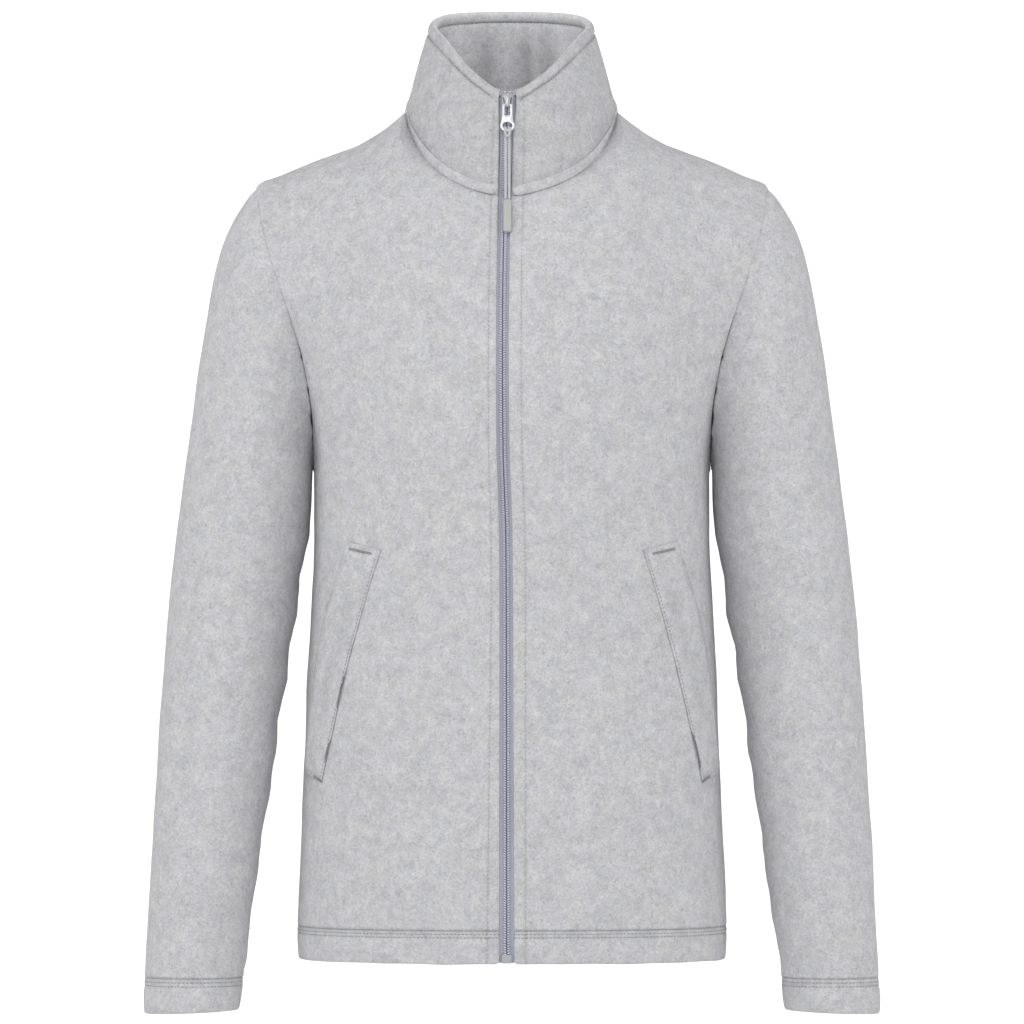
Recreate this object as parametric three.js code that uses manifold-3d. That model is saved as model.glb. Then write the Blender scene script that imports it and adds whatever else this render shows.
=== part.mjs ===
// Fleece zip jacket, filled out as when it is worn, with its front zip closed. Millimetres, +Z up.
// The front faces -Y. The origin is midway between the neck ends of the shoulder seams.
import * as THREE from 'three';
import Module from 'manifold-3d';
import { mergeVertices } from 'three/addons/utils/BufferGeometryUtils.js';

// Driving dimensions of the cloth
const clothWall = 2.5;
const foldedWall = 4.4;
const collarWall = 5;
const seamGap = 0.16;
const innerSeamGap = 0.9;
const hemLevel = -705.5;
const underarmLevel = -285;
const shoulderTip = { x: 213, y: -8, z: -62 };
const armholeReach = { front: 60, back: 64 };
const flankRoundness = 2.4;

// Driving dimensions of the zip
const tapeWall = 0.8;
const tapeDepth = 4.2;
const tapeReach = 15.5;
const tapeCover = 0.1;
const tapeRoom = 0.6;
const chainWidth = 6;
const chainWall = 2.1;
const panelBesideZip = 120;
const thinnestWall = 1.2;

// How many steps the cloth is divided into
const armholeSteps = 12;
const neckFrontSteps = 8;
const neckBackSteps = 8;
const shoulderSteps = 6;
const sleeveSteps = 2 * armholeSteps;
const weldDistance = 1e-4;
const plainLevels = [-636, -592, -548, -504, -460, -416, -376, -342, -312];
const justBelowShoulder = 0.9999;
const widestTurn = 0.98;

// Half sections of the body from the hem to the underarm: level, half width, depth in front and behind
const bodySections = [
  { level: -705.5, halfWidth: 179.5, front: 121, back: 116 },
  { level: -678, halfWidth: 181, front: 123, back: 117 },
  { level: -620, halfWidth: 177.5, front: 127, back: 116 },
  { level: -540, halfWidth: 174.5, front: 130, back: 110 },
  { level: -470, halfWidth: 172, front: 131, back: 106 },
  { level: -405, halfWidth: 168, front: 133, back: 108 },
  { level: -345, halfWidth: 166, front: 136, back: 115 },
  { level: -285, halfWidth: 166, front: 138.5, back: 122 },
  { level: -225, halfWidth: 166, front: 140, back: 127 },
];

// Depth of the chest and the upper back, from the underarm (0) to the shoulder (1)
const chestDepths = [
  { share: 0, front: 138.5, back: 122 },
  { share: 0.35, front: 140, back: 129 },
  { share: 0.7, front: 134, back: 129 },
  { share: 1, front: 124, back: 116 },
];

// The neck seam from the middle of the front round to the middle of the back
const neckSeam = [
  { x: 0, y: -97, z: -68 },
  { x: 38, y: -89, z: -58 },
  { x: 72, y: -57, z: -34 },
  { x: 88, y: -8, z: 6.5 },
  { x: 68, y: 38, z: 15 },
  { x: 0, y: 62, z: 21 },
];

// The top edge of the collar, at the same places round the neck
const collarTop = [
  { x: 0, y: -87, z: 21 },
  { x: 30, y: -77, z: 38 },
  { x: 57, y: -50, z: 66 },
  { x: 67, y: -8, z: 79.5 },
  { x: 53, y: 34, z: 89.5 },
  { x: 0, y: 53, z: 92.5 },
];
const collarBulge = { side: 1, front: 3 };

// The shoulder line from the neck to the top of the sleeve
const shoulderLine = [
  { x: 88, z: 6.5 },
  { x: 92.5, z: 2.2 },
  { x: 100, z: -4.2 },
  { x: 108.5, z: -11 },
  { x: 118.5, z: -17.7 },
  { x: 131, z: -24.3 },
  { x: 151, z: -31 },
  { x: 170, z: -37.8 },
  { x: 185.5, z: -44.4 },
  { x: 199, z: -51.2 },
  { x: 208, z: -57.4 },
  { x: 213, z: -62 },
];

// Sleeve sections: outer and inner side as seen from the front, depth front to back and its middle
const sleeveSections = [
  { outX: 213, outZ: -62, inX: 166.6, inZ: -285, depth: 124, midY: -4 },
  { outX: 225, outZ: -71, inX: 167.4, inZ: -293, depth: 130, midY: -4 },
  { outX: 238, outZ: -92, inX: 167.5, inZ: -302, depth: 134, midY: -4 },
  { outX: 248.2, outZ: -119, inX: 167.6, inZ: -312, depth: 136, midY: -4 },
  { outX: 255.6, outZ: -160, inX: 167.8, inZ: -323, depth: 136, midY: -4 },
  { outX: 264.6, outZ: -215, inX: 168.4, inZ: -337, depth: 134, midY: -4 },
  { outX: 272.5, outZ: -276, inX: 171.6, inZ: -359, depth: 131, midY: -5 },
  { outX: 281.6, outZ: -345, inX: 177.3, inZ: -392, depth: 127, midY: -6 },
  { outX: 289.3, outZ: -412, inX: 184, inZ: -432, depth: 121, midY: -8 },
  { outX: 295, outZ: -492, inX: 193.3, inZ: -494, depth: 114, midY: -11 },
  { outX: 300, outZ: -573, inX: 203.8, inZ: -571, depth: 104, midY: -15 },
  { outX: 304.5, outZ: -656, inX: 215.8, inZ: -652, depth: 94, midY: -20 },
  { outX: 307.5, outZ: -712, inX: 222.8, inZ: -706, depth: 84, midY: -23 },
  { outX: 308.5, outZ: -750.5, inX: 227.6, inZ: -747.5, depth: 82, midY: -25 },
];
const armholeFadeStation = 2.5;
const sleeveStations = [0, 0.5, 1, 1.75, 2.5, 3.25, 4, 5, 6, 7, 8, 9, 10, 11];
const elbowStation = 7;
const cuffStation = sleeveSections.length - 1;

// Relief of a turned edge: height above the edge, how far the outer face moves out, and the wall there
const turnedEdge = [
  { up: 0, out: -1.3, wall: 1.8 },
  { up: 1.6, out: 0, wall: 4.2 },
  { up: 8, out: 0.3, wall: foldedWall },
  { up: 19.5, out: 0.4, wall: foldedWall },
  { up: 22.1, out: -0.6, wall: 3.4 },
  { up: 25, out: 0.2, wall: foldedWall },
  { up: 27.9, out: -0.7, wall: 3.2 },
  { up: 31.5, out: 0, wall: clothWall },
];
const cuffFold = 1.1;

// Relief beside a sewn seam: how far the outer face sinks at the edge that is sewn, and just inside it
const seamSink = { edge: -1, inside: -0.2, shoulder: -0.35 };
const sideSeamColumns = [0.958, 0.985];
const topSeamShare = 0.98;
const sleeveSeamStation = 0.5;

// Relief of the collar: the seam allowance pressed up at its foot, and the stitched roll at its top
const collarFoot = [
  { up: 0, out: -0.8 },
  { up: 2, out: 1.2 },
  { up: 6.5, out: 1.2 },
  { up: 9.5, out: 0 },
];
const collarRoll = [
  { down: 11.5, out: 0, wall: collarWall },
  { down: 9.3, out: -0.9, wall: 3.4 },
  { down: 7.2, out: 0.6, wall: 6.8 },
  { down: 3.2, out: 0.8, wall: 7.6 },
  { down: 0.9, out: -0.6, wall: 5.4 },
  { down: 0, out: -1.9, wall: 2.8 },
];
const collarMiddle = [0.3, 0.5, 0.7];
const collarZipEdge = [0, 0.0035, 0.016];
const collarEndRounding = 1.2;
const neckCentre = -10;

// Relief beside the zip: share of the panel from its edge, outer face, and wall of the turned cloth
const zipEdge = [
  { across: 0, out: -1, wall: 2 },
  { across: 0.005, out: 0, wall: 3.4 },
  { across: 0.019, out: 0.2, wall: 3.4 },
  { across: 0.0245, out: -0.5, wall: 2.8 },
  { across: 0.031, out: 0, wall: clothWall },
];

// Where the middle of the zip runs, a little off the middle of the body, and half the opening for it there
const zipLine = [
  { level: -706, x: -4.4, halfOpening: 6.3 },
  { level: -500, x: -4.6, halfOpening: 5.6 },
  { level: -340, x: -5.2, halfOpening: 5.3 },
  { level: -280, x: -7.4, halfOpening: 5.2 },
  { level: -150, x: -7.7, halfOpening: 5.1 },
  { level: -68, x: -6, halfOpening: 5.2 },
  { level: -10, x: -4.4, halfOpening: 5.6 },
  { level: 6, x: -3.9, halfOpening: 6.7 },
  { level: 16, x: -3.6, halfOpening: 6.7 },
  { level: 25, x: -3.4, halfOpening: 4.6 },
];

// Where the middle of the front is measured above the underarm, and up the collar
const centreShares = [0.15, 0.3, 0.45, 0.6, 0.72, 0.84, 0.94];
const centreCollarShares = [0.02, 0.2, 0.4, 0.6, 0.8, 1];

// Pocket welts: level, seam line and free edge, measured across from the middle of the body
const weltSections = [
  { level: -362, seam: 108, edge: 136 },
  { level: -378, seam: 112.5, edge: 141 },
  { level: -400, seam: 119.5, edge: 147.5 },
  { level: -430, seam: 128, edge: 155.5 },
  { level: -460, seam: 136, edge: 161.5 },
  { level: -490, seam: 142.5, edge: 165.5 },
  { level: -520, seam: 149.5, edge: 168.5 },
  { level: -548, seam: 156, edge: 171 },
  { level: -556, seam: 158, edge: 172 },
];
const weltWall = 2.6;
const weltEdgeWall = 1.3;
const weltLift = 0.75;
const weltTilt = 7;
const weltAcross = [0, 0.06, 0.35, 0.7, 0.94, 1];

// Zip slider: depths are behind the face of the cloth, levels are heights along the zip
const slider = {
  middle: 10.9,
  width: 11.2,
  height: 12.2,
  plateWall: 1.2,
  frontDepth: 1.5,
  backDepth: 5.3,
  postWidth: 1.7,
  postHeight: 2.4,
  bridgeWidth: 3.4,
  bridgeTop: 15.6,
  bridgeFoot: 4.9,
  bridgeStandOff: 3.2,
  tunnelTop: 12.6,
  tunnelFoot: 6,
  tunnelDepth: 2.15,
};
const postGap = 1.5;
const sliderEdge = 0.5;
const blockEdge = 0.4;
const sharpEdge = 0.01;
const tapeStep = 6;
const tapeClearance = 0.35;
const chainTop = 11.6;
const tapeTop = 19.6;
const stop = { level: 18.2, width: 1.9, height: 1.7, depth: 1.9, across: 2.2 };
const box = { level: -701.2, width: 8.2, height: 7, depth: 1.5 };
const chainFoot = -697.2;
const chainSink = 0.3;

// Pull tab, measured down from the bar that it turns on
const pivot = { x: -3.8, y: -91, z: 7.15 };
const tab = {
  lean: 16 * Math.PI / 180,
  wall: 1.5,
  bar: 0.74,
  barSides: 24,
  armReach: 4.25,
  slotHalf: 2.35,
  slotEnd: 9.4,
  slotEdge: 0.3,
  shoulderReach: 4.55,
  shoulderDrop: 12.8,
  ringDrop: 18.2,
  ringOuter: { x: 6.1, y: 5.2 },
  ringHole: { x: 4.2, y: 3.1 },
  ringSides: 20,
};

// Cord of the pull tab: out of the tip, through the ring, round its bar as a hitch, and back to the tip
const cordDiameter = 2.2;
const cordSteps = 50;
const cordRoute = [
  { x: -5.3, y: -99.9, z: -71.4 },
  { x: -5.3, y: -98.9, z: -60 },
  { x: -5.3, y: -98.7, z: -45 },
  { x: -5.3, y: -97.9, z: -30 },
  { x: -5.3, y: -96.5, z: -22 },
  { x: -5.2, y: -95.1, z: -17 },
  { x: -5.2, y: -94.7, z: -13.6 },
  { x: -5.3, y: -96.6, z: -11 },
  { x: -5.4, y: -98.9, z: -12.1 },
  { x: -5.6, y: -99.6, z: -15 },
  { x: -5.3, y: -100, z: -17.8 },
  { x: -3.8, y: -100.3, z: -19 },
  { x: -2.3, y: -100, z: -17.8 },
  { x: -2, y: -99.6, z: -15 },
  { x: -2.2, y: -98.9, z: -12.1 },
  { x: -2.3, y: -96.6, z: -11 },
  { x: -2.4, y: -94.7, z: -13.6 },
  { x: -2.4, y: -95.1, z: -17 },
  { x: -2.3, y: -96.5, z: -22 },
  { x: -2.3, y: -97.9, z: -30 },
  { x: -2.3, y: -98.7, z: -45 },
  { x: -2.3, y: -98.9, z: -60 },
  { x: -2.3, y: -99.9, z: -71.4 },
];

// Moulded tip that holds both ends of the cord
const tip = {
  width: 6.8,
  wall: 3.4,
  edge: 1.1,
  top: { x: -3.8, y: -100.8, z: -71.9 },
  foot: { x: -3.8, y: -111.3, z: -99 },
};

function smoothAt(rows, by, at, column) {
  // Cubic through the rows of a table, with the slope at each row taken from its neighbours.
  const last = rows.length - 1;
  let lower = 0;
  while (lower < last - 1 && at > rows[lower + 1][by]) lower += 1;
  const slopeAt = (index) => {
    const before = Math.max(index - 1, 0);
    const after = Math.min(index + 1, last);
    return (rows[after][column] - rows[before][column]) / (rows[after][by] - rows[before][by]);
  };
  const from = rows[lower];
  const to = rows[lower + 1];
  const span = to[by] - from[by];
  const t = THREE.MathUtils.clamp((at - from[by]) / span, 0, 1);
  const t2 = t * t;
  const t3 = t2 * t;
  return (2 * t3 - 3 * t2 + 1) * from[column] + (t3 - 2 * t2 + t) * span * slopeAt(lower)
    + (3 * t2 - 2 * t3) * to[column] + (t3 - t2) * span * slopeAt(lower + 1);
}

function straightAt(rows, by, at, column) {
  const last = rows.length - 1;
  let lower = 0;
  while (lower < last - 1 && at > rows[lower + 1][by]) lower += 1;
  const from = rows[lower];
  const to = rows[lower + 1];
  const t = THREE.MathUtils.clamp((at - from[by]) / (to[by] - from[by]), 0, 1);
  return THREE.MathUtils.lerp(from[column], to[column], t);
}

function neckRing(stations) {
  const half = stations.map((s) => new THREE.Vector3(s.x, s.y, s.z));
  const mirrored = half.slice(1, -1).reverse().map((p) => new THREE.Vector3(-p.x, p.y, p.z));
  return new THREE.CatmullRomCurve3([...half, ...mirrored], true, 'centripetal');
}

const neckSeamRing = neckRing(neckSeam);
const collarTopRing = neckRing(collarTop);
const neckSide = 0.3;

function besideZip(side, x, level) {
  // Half the opening for the zip, and the zip's own wander, fade out across the panel.
  const halfOpening = smoothAt(zipLine, 'level', level, 'halfOpening');
  const fade = Math.max(0, 1 - x / panelBesideZip) ** 2;
  return side * x + (side * halfOpening + smoothAt(zipLine, 'level', level, 'x')) * fade;
}

function ringPoint(halfWidth, depth, turn) {
  const x = halfWidth * Math.max(Math.sin(turn), 0) ** (2 / flankRoundness);
  const y = depth * Math.max(Math.cos(turn), 0) ** (2 / flankRoundness);
  return { x, y };
}

function lowerBodyPoint(facing, across, level) {
  const halfWidth = smoothAt(bodySections, 'level', level, 'halfWidth');
  const depth = smoothAt(bodySections, 'level', level, facing);
  const { x, y } = ringPoint(halfWidth, depth, across * Math.PI / 2);
  return { x, y: facing === 'front' ? -y : y, z: level };
}

function armholeShare(step) {
  return (1 - Math.cos(Math.PI * step / armholeSteps)) / 2;
}

function armholePoint(facing, share) {
  // The armhole is an oval seen from the side, and leans inward towards the underarm.
  const direction = facing === 'front' ? -1 : 1;
  const lean = THREE.MathUtils.smoothstep(share ** 1.3, 0, 1);
  const flank = bodySections[7].halfWidth;
  const reach = armholeReach[facing] * 2 * Math.sqrt(share * (1 - share));
  return {
    x: flank + (shoulderTip.x - flank) * lean,
    y: shoulderTip.y * share + direction * reach,
    z: underarmLevel + (shoulderTip.z - underarmLevel) * share,
  };
}

function topEdgePoint(facing, across) {
  // Neck seam up to the middle of the panel's width, then the shoulder seam.
  if (across <= 0.5) {
    const turn = facing === 'front' ? across / 0.5 * neckSide : 0.5 - across / 0.5 * (0.5 - neckSide);
    return neckSeamRing.getPoint(turn);
  }
  const x = THREE.MathUtils.lerp(neckSeam[3].x, shoulderTip.x, (across - 0.5) / 0.5);
  return { x, y: shoulderTip.y, z: smoothAt(shoulderLine, 'x', x, 'z') };
}

function upperBodyPoint(facing, across, share) {
  // Sections grow from the chest to the shoulder and roll over at the top edge.
  const direction = facing === 'front' ? -1 : 1;
  const top = topEdgePoint(facing, across);
  const shoulderness = THREE.MathUtils.smoothstep(across, 0, 0.5);
  const roll = (at, sharp) => Math.max(0, 1 - at ** THREE.MathUtils.lerp(3, 2.2, sharp))
    ** (1 / THREE.MathUtils.lerp(1, 2, sharp));
  const section = (at) => {
    // The armhole closes at the shoulder, so its reach there is taken from just below.
    const below = Math.min(at, justBelowShoulder);
    const depth = smoothAt(chestDepths, 'share', at, facing);
    const hole = armholePoint(facing, below);
    const edge = (hole.y - shoulderTip.y) / roll(below, 1) + shoulderTip.y;
    const ratio = THREE.MathUtils.clamp(direction * edge / depth, 0, widestTurn);
    const turn = Math.acos(ratio ** (flankRoundness / 2));
    const halfWidth = hole.x / Math.sin(turn) ** (2 / flankRoundness);
    return ringPoint(halfWidth, depth, across * turn);
  };
  const here = section(share);
  const spread = top.x - section(1).x;
  return {
    x: here.x + spread * share * share,
    y: top.y + (direction * here.y - top.y) * roll(share, shoulderness),
    z: underarmLevel + (top.z - underarmLevel) * share,
  };
}

function panelRows() {
  const levels = turnedEdge.map((row) => hemLevel + row.up);
  const lower = [...levels, ...plainLevels].map((level) => ({ level }));
  const upper = Array.from({ length: armholeSteps + 1 }, (_, step) => ({ share: armholeShare(step) }));
  return [...lower, ...upper];
}

function panelPoint(facing, side, across, row) {
  const point = row.level === undefined
    ? upperBodyPoint(facing, across, row.share)
    : lowerBodyPoint(facing, across, row.level);
  const x = facing === 'front' ? besideZip(side, point.x, point.z) : side * point.x;
  return new THREE.Vector3(x, point.y, point.z);
}

function outwardNormals(grid, wraps, flip) {
  const rows = grid.length;
  const columns = grid[0].length;
  return grid.map((line, j) => line.map((_, i) => {
    const left = wraps ? (i - 1 + columns) % columns : Math.max(i - 1, 0);
    const right = wraps ? (i + 1) % columns : Math.min(i + 1, columns - 1);
    const down = Math.max(j - 1, 0);
    const up = Math.min(j + 1, rows - 1);
    const across = grid[j][right].clone().sub(grid[j][left]);
    const along = grid[up][i].clone().sub(grid[down][i]);
    return across.cross(along).normalize().multiplyScalar(flip);
  }));
}

function closedMesh(name, positions, faces, material) {
  // Faces are turned round together if the volume they enclose comes out negative.
  let volume = 0;
  for (const [a, b, c] of faces) {
    volume += positions[a].dot(positions[b].clone().cross(positions[c]));
  }
  const ordered = volume < 0 ? faces.map(([a, b, c]) => [a, c, b]) : faces;
  const geometry = new THREE.BufferGeometry();
  const numbers = positions.flatMap((p) => p.toArray());
  geometry.setAttribute('position', new THREE.Float32BufferAttribute(numbers, 3));
  geometry.setIndex(ordered.flat());
  geometry.computeVertexNormals();
  const mesh = new THREE.Mesh(geometry, material);
  mesh.name = name;
  return mesh;
}

function pullBack(grid, wraps, gap) {
  // Moves the outermost points of a grid back from the seams that they lie on.
  const moved = grid.map((line) => line.map((p) => p.clone()));
  const rows = grid.length;
  const columns = grid[0].length;
  const shift = (j, i, towards) => {
    moved[j][i].add(towards.clone().sub(grid[j][i]).normalize().multiplyScalar(gap));
  };
  for (let i = 0; i < columns; i += 1) {
    shift(0, i, grid[1][i]);
    shift(rows - 1, i, grid[rows - 2][i]);
  }
  if (!wraps) {
    for (let j = 0; j < rows; j += 1) {
      shift(j, 0, grid[j][1]);
      shift(j, columns - 1, grid[j][columns - 2]);
    }
  }
  return moved;
}

function clothPiece(name, grid, { wraps = false, flip = 1, relief, material }) {
  // A wall with an outer face, an inner face and a narrow edge all round.
  const rows = grid.length;
  const columns = grid[0].length;
  const normals = outwardNormals(grid, wraps, flip);
  const face = (depthOf) => grid.map((line, j) => line.map((p, i) => (
    p.clone().addScaledVector(normals[j][i], depthOf(relief(j, i))))));
  const outer = pullBack(face((r) => r.out), wraps, seamGap);
  const inner = pullBack(face((r) => r.out - r.wall), wraps, innerSeamGap);
  const positions = [...outer.flat(), ...inner.flat()];
  const outerAt = (j, i) => j * columns + i % columns;
  const innerAt = (j, i) => rows * columns + outerAt(j, i);
  const faces = [];
  const quad = (a, b, c, d) => faces.push([a, b, c], [a, c, d]);
  const lastColumn = wraps ? columns : columns - 1;
  for (let j = 0; j < rows - 1; j += 1) {
    for (let i = 0; i < lastColumn; i += 1) {
      quad(outerAt(j, i), outerAt(j, i + 1), outerAt(j + 1, i + 1), outerAt(j + 1, i));
      quad(innerAt(j, i), innerAt(j + 1, i), innerAt(j + 1, i + 1), innerAt(j, i + 1));
    }
  }
  for (let i = 0; i < lastColumn; i += 1) {
    quad(outerAt(0, i), innerAt(0, i), innerAt(0, i + 1), outerAt(0, i + 1));
    quad(outerAt(rows - 1, i), outerAt(rows - 1, i + 1), innerAt(rows - 1, i + 1), innerAt(rows - 1, i));
  }
  if (!wraps) {
    for (let j = 0; j < rows - 1; j += 1) {
      quad(outerAt(j, 0), outerAt(j + 1, 0), innerAt(j + 1, 0), innerAt(j, 0));
      const end = columns - 1;
      quad(outerAt(j, end), innerAt(j, end), innerAt(j + 1, end), outerAt(j + 1, end));
    }
  }
  return closedMesh(name, positions, faces, material);
}

function finish(color, roughness, metalness) {
  return new THREE.MeshStandardMaterial({ color, roughness, metalness });
}

const fleece = () => finish(0xbebec0, 0.95, 0);
const metal = () => finish(0xd6d8da, 0.35, 0.6);

function topSeamSink(share, across) {
  if (share === 1) return across > 0.5 ? seamSink.shoulder : seamSink.edge;
  return share > topSeamShare ? seamSink.inside : 0;
}

function rowRelief(row, across) {
  if (row.level === undefined) return { out: topSeamSink(row.share, across), wall: clothWall };
  const up = row.level - hemLevel;
  return { out: straightAt(turnedEdge, 'up', up, 'out'), wall: straightAt(turnedEdge, 'up', up, 'wall') };
}

function sideSeamSink(across) {
  if (across === 1) return seamSink.edge;
  return across === sideSeamColumns[1] ? seamSink.inside : 0;
}

function halfColumns(neckSteps) {
  // From the middle of the body to the neck end of the shoulder, and on to the side.
  const toNeck = Array.from({ length: neckSteps + 1 }, (_, i) => 0.5 * i / neckSteps);
  const toSide = Array.from({ length: shoulderSteps }, (_, i) => 0.5 + 0.5 * (i + 1) / shoulderSteps);
  return [...toNeck, ...toSide.slice(0, -1), ...sideSeamColumns, 1];
}

function frontColumns() {
  const besideZipEdge = zipEdge[zipEdge.length - 1].across * 1.5;
  const plain = halfColumns(neckFrontSteps).filter((across) => across > besideZipEdge);
  return [...zipEdge.map((row) => row.across), ...plain];
}

function frontPanel(name, side) {
  const rows = panelRows();
  const columns = frontColumns();
  const grid = rows.map((row) => columns.map((across) => panelPoint('front', side, across, row)));
  const relief = (j, i) => {
    const hem = rowRelief(rows[j], columns[i]);
    const out = Math.min(hem.out, straightAt(zipEdge, 'across', columns[i], 'out'), sideSeamSink(columns[i]));
    const wall = Math.max(hem.wall, straightAt(zipEdge, 'across', columns[i], 'wall'));
    const room = columns[i] < tapeCover ? tapeDepth - tapeRoom : foldedWall;
    return { out, wall: Math.max(thinnestWall, Math.min(wall, room + out)) };
  };
  return clothPiece(name, grid, { flip: side, relief, material: fleece() });
}

function backPanel() {
  const rows = panelRows();
  const half = halfColumns(neckBackSteps);
  const columns = [...half.slice(1).reverse().map((across) => -across), ...half];
  const grid = rows.map((row) => columns.map((across) => (
    panelPoint('back', Math.sign(across) || 1, Math.abs(across), row))));
  const relief = (j, i) => {
    const { out, wall } = rowRelief(rows[j], Math.abs(columns[i]));
    return { out: Math.min(out, sideSeamSink(Math.abs(columns[i]))), wall };
  };
  return clothPiece('back', grid, { flip: -1, relief, material: fleece() });
}

const numberedSleeve = sleeveSections.map((row, station) => ({ ...row, station }));

function sleeveRing(station, side) {
  const at = (column) => smoothAt(numberedSleeve, 'station', station, column);
  const fade = Math.max(0, 1 - station / armholeFadeStation) ** 2;
  const first = sleeveSections[0];
  return Array.from({ length: sleeveSteps }, (_, step) => {
    // Step 0 is the underarm, a quarter round is the front, and half round is the shoulder.
    const turn = 2 * Math.PI * step / sleeveSteps;
    const rise = -Math.cos(turn);
    const reach = Math.sin(turn);
    const share = (1 + rise) / 2;
    const hole = armholePoint(reach >= 0 ? 'front' : 'back', THREE.MathUtils.clamp(share, 0, 1));
    const x = (at('outX') + at('inX')) / 2 + (at('outX') - at('inX')) / 2 * rise;
    const z = (at('outZ') + at('inZ')) / 2 + (at('outZ') - at('inZ')) / 2 * rise;
    const y = at('midY') - at('depth') / 2 * reach;
    const plainX = (first.outX + first.inX) / 2 + (first.outX - first.inX) / 2 * rise;
    const plainY = first.midY - first.depth / 2 * reach;
    return new THREE.Vector3(side * (x + (hole.x - plainX) * fade), y + (hole.y - plainY) * fade, z);
  });
}

function sleeveRows() {
  const last = cuffStation;
  const length = (a, b) => Math.hypot(a.outX - b.outX, a.outZ - b.outZ);
  const endLength = length(sleeveSections[last - 1], sleeveSections[last]);
  const foldRows = [...turnedEdge].reverse().map((row) => ({
    station: last - row.up * cuffFold / endLength,
    relief: { out: row.out, wall: row.wall },
  }));
  const sink = (station) => {
    if (station === 0) return seamSink.edge;
    return station === sleeveSeamStation ? seamSink.inside : 0;
  };
  const plainRows = sleeveStations.map((station) => ({
    station,
    relief: { out: sink(station), wall: clothWall },
  }));
  return [...plainRows, ...foldRows];
}

function sleevePart(name, side, from, to) {
  // One tube of cloth between two stations; the whole sleeve is two of them, which meet at the elbow.
  const rows = sleeveRows().filter((row) => row.station >= from && row.station <= to);
  const grid = rows.map((row) => sleeveRing(row.station, side));
  const relief = (j) => rows[j].relief;
  return clothPiece(name, grid, { wraps: true, flip: -side, relief, material: fleece() });
}

function collarColumns() {
  const front = Array.from({ length: neckFrontSteps + 1 }, (_, i) => i / neckFrontSteps * neckSide);
  const back = Array.from({ length: neckBackSteps }, (_, i) => (
    neckSide + (i + 1) / neckBackSteps * (0.5 - neckSide)));
  return [...collarZipEdge, ...front.slice(1), ...back];
}

function collarPoint(side, turn, up) {
  const foot = neckSeamRing.getPoint(turn);
  const top = collarTopRing.getPoint(turn);
  const point = foot.clone().lerp(top, up);
  const outward = new THREE.Vector3(foot.x, foot.y - neckCentre, 0).normalize();
  const swell = Math.sin(Math.PI * up);
  point.x += outward.x * collarBulge.side * swell;
  point.y += outward.y * collarBulge.front * swell;
  return new THREE.Vector3(besideZip(side, point.x, point.z), point.y, point.z);
}

function collar() {
  const half = collarColumns();
  const columns = [
    ...half.map((turn) => ({ side: 1, turn })),
    ...half.slice(0, -1).reverse().map((turn) => ({ side: -1, turn })),
  ];
  const grid = [];
  const reliefs = [];
  const addRow = (upOf, relief) => {
    grid.push(columns.map(({ side, turn }) => {
      const height = neckSeamRing.getPoint(turn).distanceTo(collarTopRing.getPoint(turn));
      return collarPoint(side, turn, upOf(height));
    }));
    reliefs.push(relief);
  };
  collarFoot.forEach((row) => addRow((height) => row.up / height, { out: row.out, wall: collarWall }));
  collarMiddle.forEach((share) => addRow(() => share, { out: 0, wall: collarWall }));
  collarRoll.forEach((row) => addRow((height) => 1 - row.down / height, { out: row.out, wall: row.wall }));
  const relief = (j, i) => {
    const edge = Math.min(i, columns.length - 1 - i);
    const rounding = edge === 0 ? collarEndRounding : 0;
    return { out: reliefs[j].out - rounding, wall: Math.max(thinnestWall, reliefs[j].wall - 2 * rounding) };
  };
  return clothPiece('collar', grid, { flip: 1, relief, material: fleece() });
}

function weltAcrossAt(x, level) {
  const halfWidth = smoothAt(bodySections, 'level', level, 'halfWidth');
  return Math.asin(Math.min(1, x / halfWidth) ** (flankRoundness / 2)) / (Math.PI / 2);
}

function pocketWelt(name, side) {
  const rows = weltSections;
  const last = rows.length - 1;
  const grid = rows.map((row) => {
    const from = weltAcrossAt(row.seam, row.level);
    const to = weltAcrossAt(row.edge, row.level);
    return weltAcross.map((share) => {
      const across = THREE.MathUtils.lerp(from, to, share);
      return panelPoint('front', side, across, { level: row.level + weltTilt * share });
    });
  });
  const relief = (j, i) => {
    const atEnd = j === 0 || j === last || i === 0 || i === weltAcross.length - 1;
    const wall = atEnd ? weltEdgeWall : weltWall;
    return { out: weltLift + wall, wall };
  };
  return clothPiece(name, grid, { flip: -side, relief, material: fleece() });
}

function centreFront() {
  // The middle of the front from the hem to the top of the collar, as y and z.
  const levels = bodySections.filter((row) => row.level <= underarmLevel).map((row) => row.level);
  const body = levels.map((level) => lowerBodyPoint('front', 0, level));
  const chest = centreShares.map((share) => upperBodyPoint('front', 0, share));
  const foot = neckSeamRing.getPoint(0);
  const top = collarTopRing.getPoint(0);
  const neck = centreCollarShares.map((up) => {
    const point = foot.clone().lerp(top, up);
    return { x: 0, y: point.y - collarBulge.front * Math.sin(Math.PI * up), z: point.z };
  });
  return [...body, ...chest, ...neck];
}

function zipFrames(fromLevel, toLevel) {
  const line = centreFront();
  const inside = line.filter((p) => p.z > fromLevel + 2 && p.z < toLevel - 2);
  const points = [fromLevel, ...inside.map((p) => p.z), toLevel].map((level) => ({
    y: smoothAt(line, 'z', level, 'y'),
    z: level,
  }));
  return points.map((p, i) => {
    const before = points[Math.max(i - 1, 0)];
    const after = points[Math.min(i + 1, points.length - 1)];
    const slope = Math.atan2(after.y - before.y, after.z - before.z);
    const inward = { y: Math.cos(slope), z: -Math.sin(slope) };
    return { x: smoothAt(zipLine, 'level', p.z, 'x'), y: p.y, z: p.z, inward };
  });
}

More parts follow.
